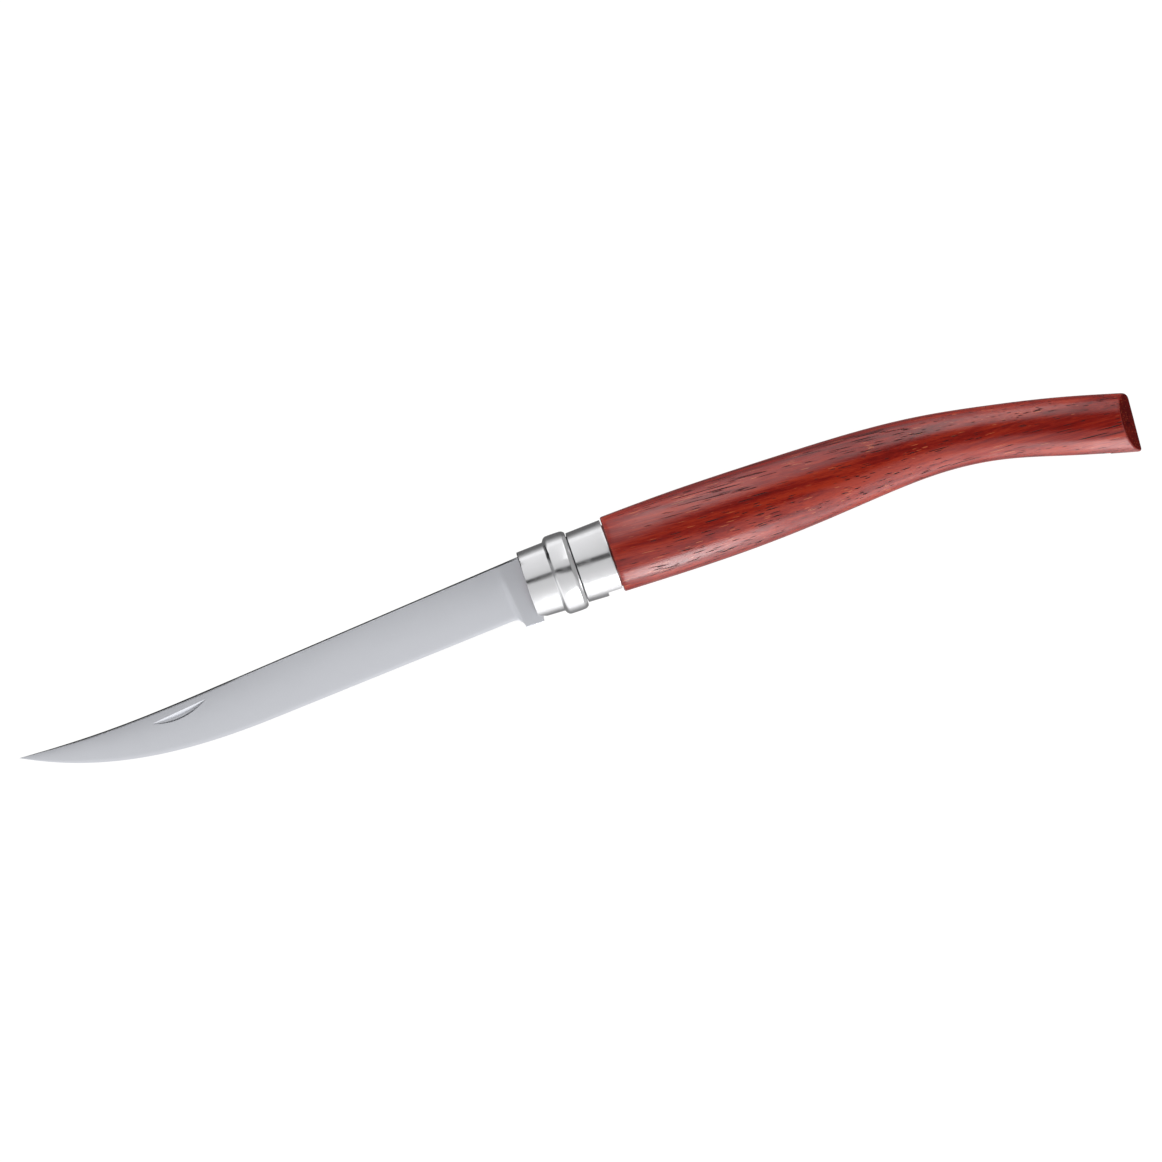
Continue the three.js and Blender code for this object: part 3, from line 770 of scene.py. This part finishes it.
wallNumbers = (
    "Half Split", "Flare", "Flare Turn", "Corner Cut", "Corner Width", "Ramp Start", "Ramp End", "Ramp Turn",
    "Front Hold", "Front Fade", "Notch Length", "Notch Half Width", "Notch Front", "Notch Rear", "Cone Slope",
)
wallInputs = {
    "Profile": "NodeSocketGeometry", "Columns": "NodeSocketInt",
    **dict.fromkeys(wallNumbers, "NodeSocketFloat"),
    "Axis Place": "NodeSocketVector", "Finish": "NodeSocketMaterial",
}


def makeTurnedWall():
    tree = bpy.data.node_groups.new("turnedWall", "GeometryNodeTree")
    for name, kind in wallInputs.items():
        tree.interface.new_socket(name, in_out="INPUT", socket_type=kind)
    tree.interface.new_socket("Wall", in_out="OUTPUT", socket_type="NodeSocketGeometry")
    given = tree.nodes.new("NodeGroupInput").outputs
    # the wall unrolled: x along the axis, y its radius, z from 0 to 1 round the turn
    loop = nodeOut(tree, "GeometryNodeMeshToCurve", {"Mesh": given["Profile"]})
    turn = nodeOut(tree, "GeometryNodeCurvePrimitiveLine", {"End": (0, 0, 1)})
    turn = nodeOut(tree, "GeometryNodeResampleCurve", {"Curve": turn, "Count": given["Columns"]})
    flat = nodeOut(tree, "GeometryNodeCurveToMesh", {"Curve": turn, "Profile Curve": loop, "Fill Caps": True})
    place = nodeOut(tree, "GeometryNodeInputPosition")
    x, radius, share = addNode(tree, "ShaderNodeSeparateXYZ", {0: place}).outputs
    # the angle starts below, so that the walls of the split are parallel
    start = calc(tree, "ARCSINE", calc(tree, "DIVIDE", given["Half Split"], radius))
    angle = mapRange(tree, share, 0, 1, start, minus(tree, 2 * math.pi, start))
    fromBelow = calc(tree, "MINIMUM", angle, minus(tree, 2 * math.pi, angle))
    side = times(tree, times(tree, radius, calc(tree, "SINE", angle)), -1)
    # near corner of the front cut off beside the split, and the lock ramp on the far side
    cornerEnd = plus(tree, given["Half Split"], given["Corner Width"])
    corner = mapRange(tree, side, given["Half Split"], cornerEnd, given["Corner Cut"], 0)
    corner = times(tree, corner, calc(tree, "GREATER_THAN", angle, 1.5 * math.pi))
    ramp = mapRange(tree, angle, 0, given["Ramp Turn"], given["Ramp Start"], given["Ramp End"])
    ramp = times(tree, ramp, calc(tree, "LESS_THAN", angle, given["Ramp Turn"]))
    front = mapRange(tree, x, given["Front Hold"], given["Front Fade"], 1, 0)
    moved = times(tree, plus(tree, corner, ramp), front)
    # cut-out at the rear edge, below
    inNotch = calc(tree, "LESS_THAN", calc(tree, "ABSOLUTE", side), given["Notch Half Width"])
    inNotch = times(tree, inNotch, calc(tree, "LESS_THAN", fromBelow, math.pi / 2))
    rear = mapRange(tree, x, given["Notch Front"], given["Notch Rear"], 0, given["Notch Length"])
    moved = minus(tree, moved, times(tree, inNotch, rear))
    # the ends at the split stand out a little
    flare = mapRange(tree, fromBelow, 0, given["Flare Turn"], given["Flare"], 0, smooth=True)
    wide = times(tree, radius, plus(tree, flare, 1))
    wide = plus(tree, wide, times(tree, moved, given["Cone Slope"]))
    high = times(tree, times(tree, wide, calc(tree, "COSINE", angle)), -1)
    out = times(tree, times(tree, wide, calc(tree, "SINE", angle)), -1)
    rolled = nodeOut(tree, "ShaderNodeCombineXYZ", {0: plus(tree, x, moved), 1: high, 2: out})
    rolled = calcVector(tree, "ADD", rolled, given["Axis Place"])
    wall = nodeOut(tree, "GeometryNodeSetPosition", {"Geometry": flat, "Position": rolled})
    wall = nodeOut(tree, "GeometryNodeRealizeInstances", {"Geometry": wall})
    wall = nodeOut(tree, "GeometryNodeSetMaterial", {"Geometry": wall, "Material": given["Finish"]})
    plug(tree, tree.nodes.new("NodeGroupOutput").inputs["Wall"], wall)
    return tree


turnedWall = makeTurnedWall()


def rollWall(name, profile, lengths, others, sharpAngle):  # lengths in millimetres; what isn't named stays 0
    mesh = bpy.data.meshes.new(name)
    loop = [(x * millimetre, r * millimetre, 0) for x, r in profile]
    mesh.from_pydata(loop, [(i, (i + 1) % len(loop)) for i in range(len(loop))], [])
    piece = newObject(name, mesh)
    modifier = piece.modifiers.new("turnedWall", "NODES")
    modifier.node_group = turnedWall
    values = {label: length * millimetre for label, length in lengths.items()} | others
    values |= {"Cone Slope": ringShape["coneSlope"], "Axis Place": origin.tolist(), "Finish": pressedSteel}
    for item in turnedWall.interface.items_tree:
        if item.name in values:
            modifier[item.identifier] = values[item.name]
    applyModifiers(piece)
    shadeMesh(piece.data, sharpAngle)
    return piece


def makeRing():
    r = ringShape
    lengths = {
        "Half Split": r["split"] / 2, "Corner Cut": r["cornerCut"], "Corner Width": r["cornerWidth"],
        "Ramp Start": r["rampStart"], "Ramp End": r["rampEnd"],
        "Front Hold": 2 * r["edgeRound"], "Front Fade": r["beadFront"],
    }
    others = {
        "Columns": r["columns"], "Flare": r["flare"],
        "Flare Turn": math.radians(r["flareTurn"]), "Ramp Turn": math.radians(r["rampTurn"]),
    }
    return rollWall("locking_ring_pressed", ringProfile(), lengths, others, r["sharpAngle"])


def makeCollar():
    c = collarShape
    lengths = {
        "Half Split": c["slot"] / 2,
        "Notch Length": c["notchLength"], "Notch Half Width": c["notchHalfWidth"],
        "Notch Front": coneFront + c["wall"], "Notch Rear": c["length"] - 2 * c["edgeRound"],
    }
    others = {"Columns": c["columns"]}
    collar = rollWall("fixed_collar_pressed", collarProfile(), lengths, others, c["sharpAngle"])
    cutAway(collar, pivotBar(c["pinHole"], 2 * c["coneRadius"]), c["sharpAngle"])
    return collar


finishPiece(makeRing(), "ring", "locking_ring", pressedSteel)
finishPiece(makeCollar(), "grip", "fixed_collar", pressedSteel)


# Handle: oval sections from the tenon to the butt, with the fold slot drawn into each section

shoulderGap = 0.3  # between the collar and the wood
buttSetback = 0.52  # from the middle of the butt's leaning ridge to the wood's last point
tenonLead = 1.1  # from the front of the collar's cone to the tenon's step
handleShape = {
    "shoulderX": nodeRear("fixed_collar") + shoulderGap, "buttX": nodeRear("handle") - buttSetback,
    "top": [9.05, 9.38, 9.3, 8.99, 8.42, 6.99, 4.33, 1.02, -3.1],  # at even steps from shoulder to butt
    "bottom": [-8.5, -8.9, -8.94, -8.36, -7.3, -6.73, -8.49, -12.76, -16.9],
    "side": [8.75, 8.85, 8.8, 8.5, 7.9, 7.1, 6.4, 6, 5.8],
    "fullness": 2.2, "slotHalf": 1.2, "slotRoom": 1, "mouthRound": 0.3,
    "shoulderRound": 0.35, "shoulderSteps": 8,
    "tenonFront": 1, "tenonStep": coneFront + tenonLead, "tenonFit": 0.25,
    "tenonRadius": 7.25, "tenonFullness": 2,
    "kickEnd": 17.2, "web": 0.3, "pinHole": 1.6,
    "buttBevel": 3.5, "buttHalfWidth": 5.7, "buttLean": 4.5, "ridgeRound": 0.25,
    "rimRound": 0.4, "topRound": 1.4, "bottomRound": 0.9, "roundPower": 3, "buttRounds": 6,
    "stations": 130, "buttStations": 14, "outerPoints": 110, "rimSteps": 7,
    "facetRows": 12, "facetPower": 1.5, "wallPoints": 6, "mouthPoints": 5, "sliver": 0.02, "sharpAngle": 38,
}


def evenCurve(values):  # natural cubic curve through values at even steps, from share 0 to share 1
    values = np.array(values, float)
    count = len(values)
    system = np.eye(count)
    right = np.zeros(count)
    for i in range(1, count - 1):
        system[i, i - 1:i + 2] = (1, 4, 1)
        right[i] = 6 * (values[i - 1] - 2 * values[i] + values[i + 1])
    bend = np.linalg.solve(system, right)

    def at(share):
        place = np.asarray(share, float) * (count - 1)
        i = np.clip(place.astype(int), 0, count - 2)
        t = place - i
        line = (1 - t) * values[i] + t * values[i + 1]
        return line + (((1 - t) ** 3 - (1 - t)) * bend[i] + (t ** 3 - t) * bend[i + 1]) / 6

    return at


topCurve, bottomCurve, sideCurve = (evenCurve(handleShape[key]) for key in ("top", "bottom", "side"))


def gripSizes(x):  # middle, half height and half width of the grip at x
    share = (np.asarray(x) - handleShape["shoulderX"]) / (handleShape["buttX"] - handleShape["shoulderX"])
    top, bottom = topCurve(share), bottomCurve(share)
    return (top + bottom) / 2, (top - bottom) / 2, sideCurve(share)


def ovalPoint(sizes, fullness, angle):  # (y, z) on an oval, the angle counted from below
    middle, high, wide = sizes
    down = np.sign(np.cos(angle)) * np.abs(np.cos(angle)) ** (2 / fullness)
    return middle - high * down, wide * np.abs(np.sin(angle)) ** (2 / fullness)


def foldedEdgeLine():  # the blade's edge as it lies in the slot, from the choil to the point
    line = edgeLine[edgeLine[:, 0] < choilX][::-1]
    line = np.vstack([[(choilX, edgeY(choilX))], line]) - pivot
    c, s = math.cos(foldTurn), math.sin(foldTurn)
    return line @ np.array([[c, s], [-s, c]]) + pivot


foldedEdge = foldedEdgeLine()
slotEnd = foldedEdge[-1, 0] + handleShape["slotRoom"]


def slotRoof(x):
    return np.interp(x, foldedEdge[:, 0], foldedEdge[:, 1]) + handleShape["slotRoom"]


def mouthAngle(sizes, fullness):
    reach = (handleShape["slotHalf"] + handleShape["mouthRound"]) / sizes[2]
    return math.asin(reach ** (fullness / 2))


def slottedHalf(sizes, fullness, roof):  # near half of a section, from the slot's roof to the top
    h = handleShape
    angles = np.linspace(mouthAngle(sizes, fullness), math.pi, h["outerPoints"])
    outer = np.stack(ovalPoint(sizes, fullness, angles), axis=1)
    outer[-1, 1] = 0
    low, edge = outer[0, 0], h["mouthRound"]
    wall = np.linspace(roof, low + edge, h["wallPoints"], endpoint=False)
    turn = np.linspace(0, math.pi / 2, h["mouthPoints"], endpoint=False)
    mouth = np.stack([low + edge - edge * np.sin(turn), h["slotHalf"] + edge - edge * np.cos(turn)], axis=1)
    inside = [(roof, 0), (roof, h["slotHalf"] / 2)] + [(y, h["slotHalf"]) for y in wall]
    return np.vstack([inside, mouth, outer])


def closedAngles(sizes, fullness):  # as many points, spread over a section that the slot doesn't reach
    h = handleShape
    first = mouthAngle(sizes, fullness)
    below = np.linspace(0, first, 2 + h["wallPoints"] + h["mouthPoints"], endpoint=False)
    return np.concatenate([below, np.linspace(first, math.pi, h["outerPoints"])])


def buttPlane(y, z):  # the two bevels, which meet in a slightly rounded ridge
    h = handleShape
    middle = float(gripSizes(h["buttX"])[0])
    away = np.sqrt(z ** 2 + h["ridgeRound"] ** 2) - h["ridgeRound"]
    lean = math.tan(math.radians(h["buttLean"]))
    return h["buttX"] + (y - middle) * lean - h["buttBevel"] / h["buttHalfWidth"] * away


def buttHalves(angles, startX):  # near halves from the last plain section to the ridge
    h = handleShape
    endX = np.full(len(angles), float(h["buttX"]))
    for _ in range(h["buttRounds"]):  # each round brings the section nearer to the bevels
        endX = buttPlane(*ovalPoint(gripSizes(endX), h["fullness"], angles))
    atTop = np.maximum(0, -np.cos(angles)) ** h["roundPower"]
    atBottom = np.maximum(0, np.cos(angles)) ** h["roundPower"]
    edge = h["rimRound"] + (h["topRound"] - h["rimRound"]) * atTop
    edge += (h["bottomRound"] - h["rimRound"]) * atBottom

    def flank(x):
        y, z = ovalPoint(gripSizes(x), h["fullness"], angles)
        z[[0, -1]] = 0
        return np.stack([x, y, z], axis=1)

    halves = [flank(mix(startX, endX - edge, share)) for share in np.linspace(0, 1, h["buttStations"])[1:]]
    rim = flank(endX)
    middle = float(gripSizes(h["buttX"])[0])
    arm = np.hypot(rim[:, 1] - middle, rim[:, 2])
    shrink = 1 - edge / arm
    inner = np.stack([middle + (rim[:, 1] - middle) * shrink, rim[:, 2] * shrink], axis=1)
    facet = np.stack([buttPlane(inner[:, 0], inner[:, 1]), inner[:, 0], inner[:, 1]], axis=1)
    start = halves[-1]
    for t in np.linspace(0, 1, h["rimSteps"])[1:]:
        halves.append((1 - t) ** 2 * start + 2 * t * (1 - t) * rim + t ** 2 * facet)
    for share in np.linspace(0, 1, h["facetRows"])[1:]:
        z = inner[:, 1] * (1 - share) ** h["facetPower"]
        halves.append(np.stack([buttPlane(inner[:, 0], z), inner[:, 0], z], axis=1))
    return halves


def makeHandle():
    h = handleShape
    front = collarOutside(h["tenonFront"]) - collarShape["wall"] - h["tenonFit"]
    step = collarOutside(h["tenonStep"]) - collarShape["wall"] - h["tenonFit"]
    sliver = h["sliver"]
    halves = []

    def add(x, sizes, fullness, roof):
        half = slottedHalf(sizes, fullness, roof)
        halves.append(np.column_stack([np.full(len(half), x), half]))

    # tenon: x, radius and the height of the slot's roof
    shoulder = h["shoulderX"]
    for x, radius, roof in (
        (h["tenonFront"], front, front - h["web"]),
        (h["tenonStep"], step, step - h["web"]),
        (h["tenonStep"] + sliver, h["tenonRadius"], h["tenonRadius"] - h["web"]),
        (h["kickEnd"], h["tenonRadius"], h["tenonRadius"] - h["web"]),
        (h["kickEnd"] + sliver, h["tenonRadius"], slotRoof(h["kickEnd"])),
        (shoulder - sliver, h["tenonRadius"], slotRoof(shoulder)),
    ):
        add(x, (0, radius, radius), h["tenonFullness"], roof)
    # rounded shoulder, then the grip as far as the slot's end
    edge = h["shoulderRound"]
    for turn in np.linspace(math.pi / 2, 0, h["shoulderSteps"]):
        x = shoulder + edge * (1 - math.sin(turn))
        cut = edge * (1 - math.cos(turn))
        middle, high, wide = gripSizes(x)
        add(x, (middle, high - cut, wide - cut), h["fullness"], slotRoof(x))
    for x in np.linspace(shoulder + edge, slotEnd, h["stations"])[1:]:
        add(x, gripSizes(x), h["fullness"], slotRoof(x))
    startX = slotEnd + sliver
    angles = closedAngles(gripSizes(startX), h["fullness"])
    y, z = ovalPoint(gripSizes(startX), h["fullness"], angles)
    z[[0, -1]] = 0
    halves.append(np.column_stack([np.full(len(y), startX), y, z]))
    halves += buttHalves(angles, startX)
    points = []
    for half in halves:
        points += half.tolist()
        points += [(x, y, -z) for x, y, z in half[-2:0:-1]]
    count = 2 * len(halves[0]) - 2
    faces = ringFaces(len(halves), count)
    faces.append(tuple(range(count)))
    handle = addPiece("handle_wood", points, faces, h["sharpAngle"])
    cutAway(handle, pivotBar(h["pinHole"], 2 * h["tenonRadius"]), h["sharpAngle"])
    return handle


finishPiece(makeHandle(), "grip", "handle", redWood)
frame["nodes"]["pivot_pin"].material_slots[0].material = pinSteel
print("pieces made")


# Studio: white floor and sky, two long soft lamps, and what polished surfaces see of the room

studio = {
    "lens": 135, "sensor": 36, "frameWidth": 0.2598, "turn": -19.125, "aim": (0.0012807, 0.0006454, 0.00905),
    "floorSize": 3, "floorGlow": 0.95, "floorDiffuse": 0.12, "floorWhite": 0.8,
    "skyDiffuse": 0.53,
    "overhead": 0.93, "edgeRise": 0.7, "edgeAngles": (-12, -72), "edgePower": 1.8,
    "spineRise": 0.31, "spineAngles": (15, 88),
    "endDim": 0.4, "endReach": (0.7, 0.95), "endSide": (-0.12, 0.1),
    "edgeLampAngle": -74, "edgeLampAway": 0.6, "edgeLampSize": (1.3, 0.3), "edgeLampLevel": 3.9,
    "spineLampAngle": 66, "spineLampAway": 0.7, "spineLampSize": (1.2, 0.4), "spineLampLevel": 2.4,
    # painted shade: as steel mirrors it, the floor is dark near the knife, standing in for the knife's shadow
    # there
    # tone of the floor as steel mirrors it, by distance from the knife: near, far and the tones there
    "spineFloorShade": (0.022, 0.062, 0.08, 1.05), "edgeFloorShade": (-0.0185, -0.045, 0.2, 1.2),
    "buttFloor": (0.132, 0.15, 1, 0.2),
    # a dark panel above the ring, wider above the handle: x, and its two sides as angles from straight up
    "panelHeight": 0.111, "panelTone": 0.03,
    "panelSides": [
        (-0.17, 2, 18), (-0.12, 2, 18), (-0.085, 6, 15.6), (-0.024, 6, 15.6), (-0.0165, -1, 15.6),
        (-0.0137, -1, 15.6), (-0.013, 5, 15.6), (-0.0085, 5, 15.6), (-0.008, 0.3, 15.6),
        (-0.003, 0.3, 15.6), (-0.0025, -2.5, 13), (0.013, -2.5, 13), (0.03, -18, 28), (0.4, -18, 28),
    ],
    # upright cards beside the knife: both ends, foot, top, and tones at places along x. Dark ones stand by
    # the blade's spine, bright ones at both sides of the handle and by its tail, grey ones between the two
    "cards": {
        "pointFlag": ((-0.134, 0.0052), (-0.08, 0.0078), 0, 0.0195, [(0, 0.03)]),
        "bladeFlag": ((-0.08, 0.009), (-0.03, 0.0113), 0, 0.0145, [(0, 0.03)]),
        "ricassoFlag": ((-0.03, 0.0125), (-0.0108, 0.0125), 0, 0.0175, [(0, 0.03)]),
        "spineGlow": (
            (0.014, 0.12), (0.17, 0.12), 0.02, 0.18,
            [(0.02, 2.6), (0.06, 1.4), (0.105, 1.4), (0.125, 2.2)],
        ),
        "edgeGlow": (
            (0.006, -0.16), (0.175, -0.16), 0, 0.11,
            [(0.013, 9.5), (0.028, 7.5), (0.064, 1.8), (0.1, 1.6)],
        ),
        "tailGlow": ((0.098, -0.065), (0.15, -0.065), 0, 0.055, [(0.098, 1.6), (0.111, 4.8)]),
        "spineBlock": ((0.0092, 0.0105), (0.0092, 0.045), 0, 0.06, [(0, 0.4)]),
        "edgeBlock": ((0.0092, -0.0105), (0.0092, -0.045), 0, 0.06, [(0, 0.6)]),
        "topBlock": ((0.0092, -0.0105), (0.0092, 0.0105), 0.0182, 0.06, [(0, 0.4)]),
    },
    # painted light: the floor as steel mirrors it is brighter on the edge side of the handle, and plain
    # beside the steel
    "handleStart": (0.008, 0.018), "handleFloorLight": 1.8,
}


def seenDirectly(tree):  # 1 for camera, mirror and glass rays
    path = addNode(tree, "ShaderNodeLightPath").outputs
    seen = calc(tree, "MAXIMUM", path["Is Camera Ray"], path["Is Glossy Ray"])
    return calc(tree, "MAXIMUM", seen, path["Is Transmission Ray"])


def stagePiece(name, points, faces, material):
    mesh = bpy.data.meshes.new(name)
    mesh.from_pydata(points, [], faces)
    mesh.materials.append(material)
    piece = newObject(name, mesh)
    return piece


def emptyMaterial(name):
    material = bpy.data.materials.new(name)
    material.use_nodes = True
    material.node_tree.nodes.clear()
    return material, material.node_tree


def makeFloor():
    s = studio
    material, tree = emptyMaterial("whiteFloor")
    place = addNode(tree, "ShaderNodeTexCoord").outputs["Object"]
    x, y, _ = addNode(tree, "ShaderNodeSeparateXYZ", {0: place}).outputs
    # painted shade and light, for mirror rays only: dark near the knife for its shadow, brighter beside the
    # handle's edge side
    away = minus(tree, y, float(origin[1]))
    spineTone = mapRange(tree, away, *s["spineFloorShade"])
    edgeTone = mapRange(tree, away, *s["edgeFloorShade"])
    onSpineSide = calc(tree, "GREATER_THAN", away, 0)
    alongHandle = mapRange(tree, x, *s["handleStart"], 0, 1, smooth=True)
    bright = times(tree, edgeTone, s["handleFloorLight"])
    edgeTone = mixColour(tree, alongHandle, edgeTone, bright)
    tone = mixColour(tree, onSpineSide, edgeTone, spineTone)
    tone = times(tree, tone, mapRange(tree, x, *s["buttFloor"], smooth=True))
    mirrored = addNode(tree, "ShaderNodeLightPath").outputs["Is Glossy Ray"]
    level = nodeOut(tree, "ShaderNodeMix", {0: mirrored, 2: s["floorGlow"], 3: tone})
    grey = s["floorDiffuse"]
    faint = nodeOut(tree, "ShaderNodeBsdfDiffuse", {"Color": (grey, grey, grey, 1)})
    glow = nodeOut(tree, "ShaderNodeEmission", {"Strength": level})
    shown = nodeOut(tree, "ShaderNodeAddShader", {0: faint, 1: glow})
    white = s["floorWhite"]
    plain = nodeOut(tree, "ShaderNodeBsdfDiffuse", {"Color": (white, white, white, 1)})
    surface = nodeOut(tree, "ShaderNodeMixShader", {0: seenDirectly(tree), 1: plain, 2: shown})
    plug(tree, addNode(tree, "ShaderNodeOutputMaterial").inputs["Surface"], surface)
    half = s["floorSize"] / 2
    corners = [(-half, -half, 0), (half, -half, 0), (half, half, 0), (-half, half, 0)]
    stagePiece("floor", corners, [(0, 1, 2, 3)], material)


def makeCard(name, points, faces, tones):  # seen by polished surfaces only
    material, tree = emptyMaterial(name)
    place = addNode(tree, "ShaderNodeTexCoord").outputs["Object"]
    x = nodeOut(tree, "ShaderNodeSeparateXYZ", {0: place})
    tone = tones[0][1]
    for (left, first), (right, second) in zip(tones, tones[1:]):
        tone = plus(tree, mapRange(tree, x, left, right, 0, second - first), tone)
    glow = nodeOut(tree, "ShaderNodeEmission", {"Strength": tone})
    plug(tree, addNode(tree, "ShaderNodeOutputMaterial").inputs["Surface"], glow)
    panel = stagePiece(name, points, faces, material)
    panel.visible_camera = False
    panel.visible_diffuse = False
    panel.visible_shadow = False
    panel.visible_transmission = False


def makeCards():
    s = studio
    points = []
    for x, low, high in s["panelSides"]:
        for angle in (low, high):
            y = origin[1] + s["panelHeight"] * math.tan(math.radians(angle))
            points.append((x, y, origin[2] + s["panelHeight"]))
    faces = [(2 * i, 2 * i + 2, 2 * i + 3, 2 * i + 1) for i in range(len(s["panelSides"]) - 1)]
    makeCard("overheadPanel", points, faces, [(0, s["panelTone"])])
    for name, (first, last, foot, top, tones) in s["cards"].items():
        ends = [(x, origin[1] + away) for x, away in (first, last)]
        corners = [(*ends[0], foot), (*ends[1], foot), (*ends[1], top), (*ends[0], top)]
        makeCard(name, corners, [(0, 1, 2, 3)], tones)


def makeSky():
    s = studio
    world = bpy.data.worlds.new("sky")
    scene.world = world
    world.use_nodes = True
    tree = world.node_tree
    tree.nodes.clear()
    direction = addNode(tree, "ShaderNodeTexCoord").outputs["Generated"]
    x, y, z = addNode(tree, "ShaderNodeSeparateXYZ", {0: direction}).outputs
    angle = calc(tree, "ARCTAN2", y, z)
    near, far = (math.radians(a) for a in s["edgeAngles"])
    edge = calc(tree, "POWER", mapRange(tree, angle, near, far, 0, 1), s["edgePower"])
    level = plus(tree, times(tree, edge, s["edgeRise"]), s["overhead"])
    near, far = (math.radians(a) for a in s["spineAngles"])
    level = plus(tree, mapRange(tree, angle, near, far, 0, s["spineRise"]), level)
    ends = mapRange(tree, calc(tree, "ABSOLUTE", x), *s["endReach"], 0, 1 - s["endDim"], smooth=True)
    ends = times(tree, ends, mapRange(tree, y, *s["endSide"], 0, 1, smooth=True))
    level = times(tree, level, minus(tree, 1, ends))
    path = addNode(tree, "ShaderNodeLightPath").outputs
    level = calc(tree, "MAXIMUM", level, path["Is Camera Ray"])
    dim = nodeOut(tree, "ShaderNodeBackground", {"Strength": s["skyDiffuse"]})
    shown = nodeOut(tree, "ShaderNodeBackground", {"Strength": level})
    surface = nodeOut(tree, "ShaderNodeMixShader", {0: seenDirectly(tree), 1: dim, 2: shown})
    plug(tree, addNode(tree, "ShaderNodeOutputWorld").inputs["Surface"], surface)


def makeLamp(kind):  # a long soft box along the knife, at an angle from straight up
    s = studio
    lamp = bpy.data.lights.new(kind, "AREA")
    lamp.shape = "RECTANGLE"
    lamp.size, lamp.size_y = s[kind + "Size"]
    lamp.energy = s[kind + "Level"] * math.pi * lamp.size * lamp.size_y
    box = newObject(kind, lamp)
    angle = math.radians(s[kind + "Angle"])
    away = s[kind + "Away"]
    box.location = (s["aim"][0], away * math.sin(angle), away * math.cos(angle))
    box.rotation_euler = (-angle, 0, 0)
    box.visible_glossy = False  # the cards and the sky are what polished surfaces show


def makeCamera():
    s = studio
    data = bpy.data.cameras.new("camera")
    data.lens = s["lens"]
    data.sensor_width = s["sensor"]
    camera = newObject("camera", data)
    x, y, z = s["aim"]
    camera.location = (x, y, z + s["frameWidth"] * s["lens"] / s["sensor"])
    camera.rotation_euler = (0, 0, math.radians(s["turn"]))
    scene.camera = camera


scene.view_settings.view_transform = "Standard"
makeCamera()
makeFloor()
makeCards()
makeSky()
for lampName in ("edgeLamp", "spineLamp"):
    makeLamp(lampName)
print("studio made")
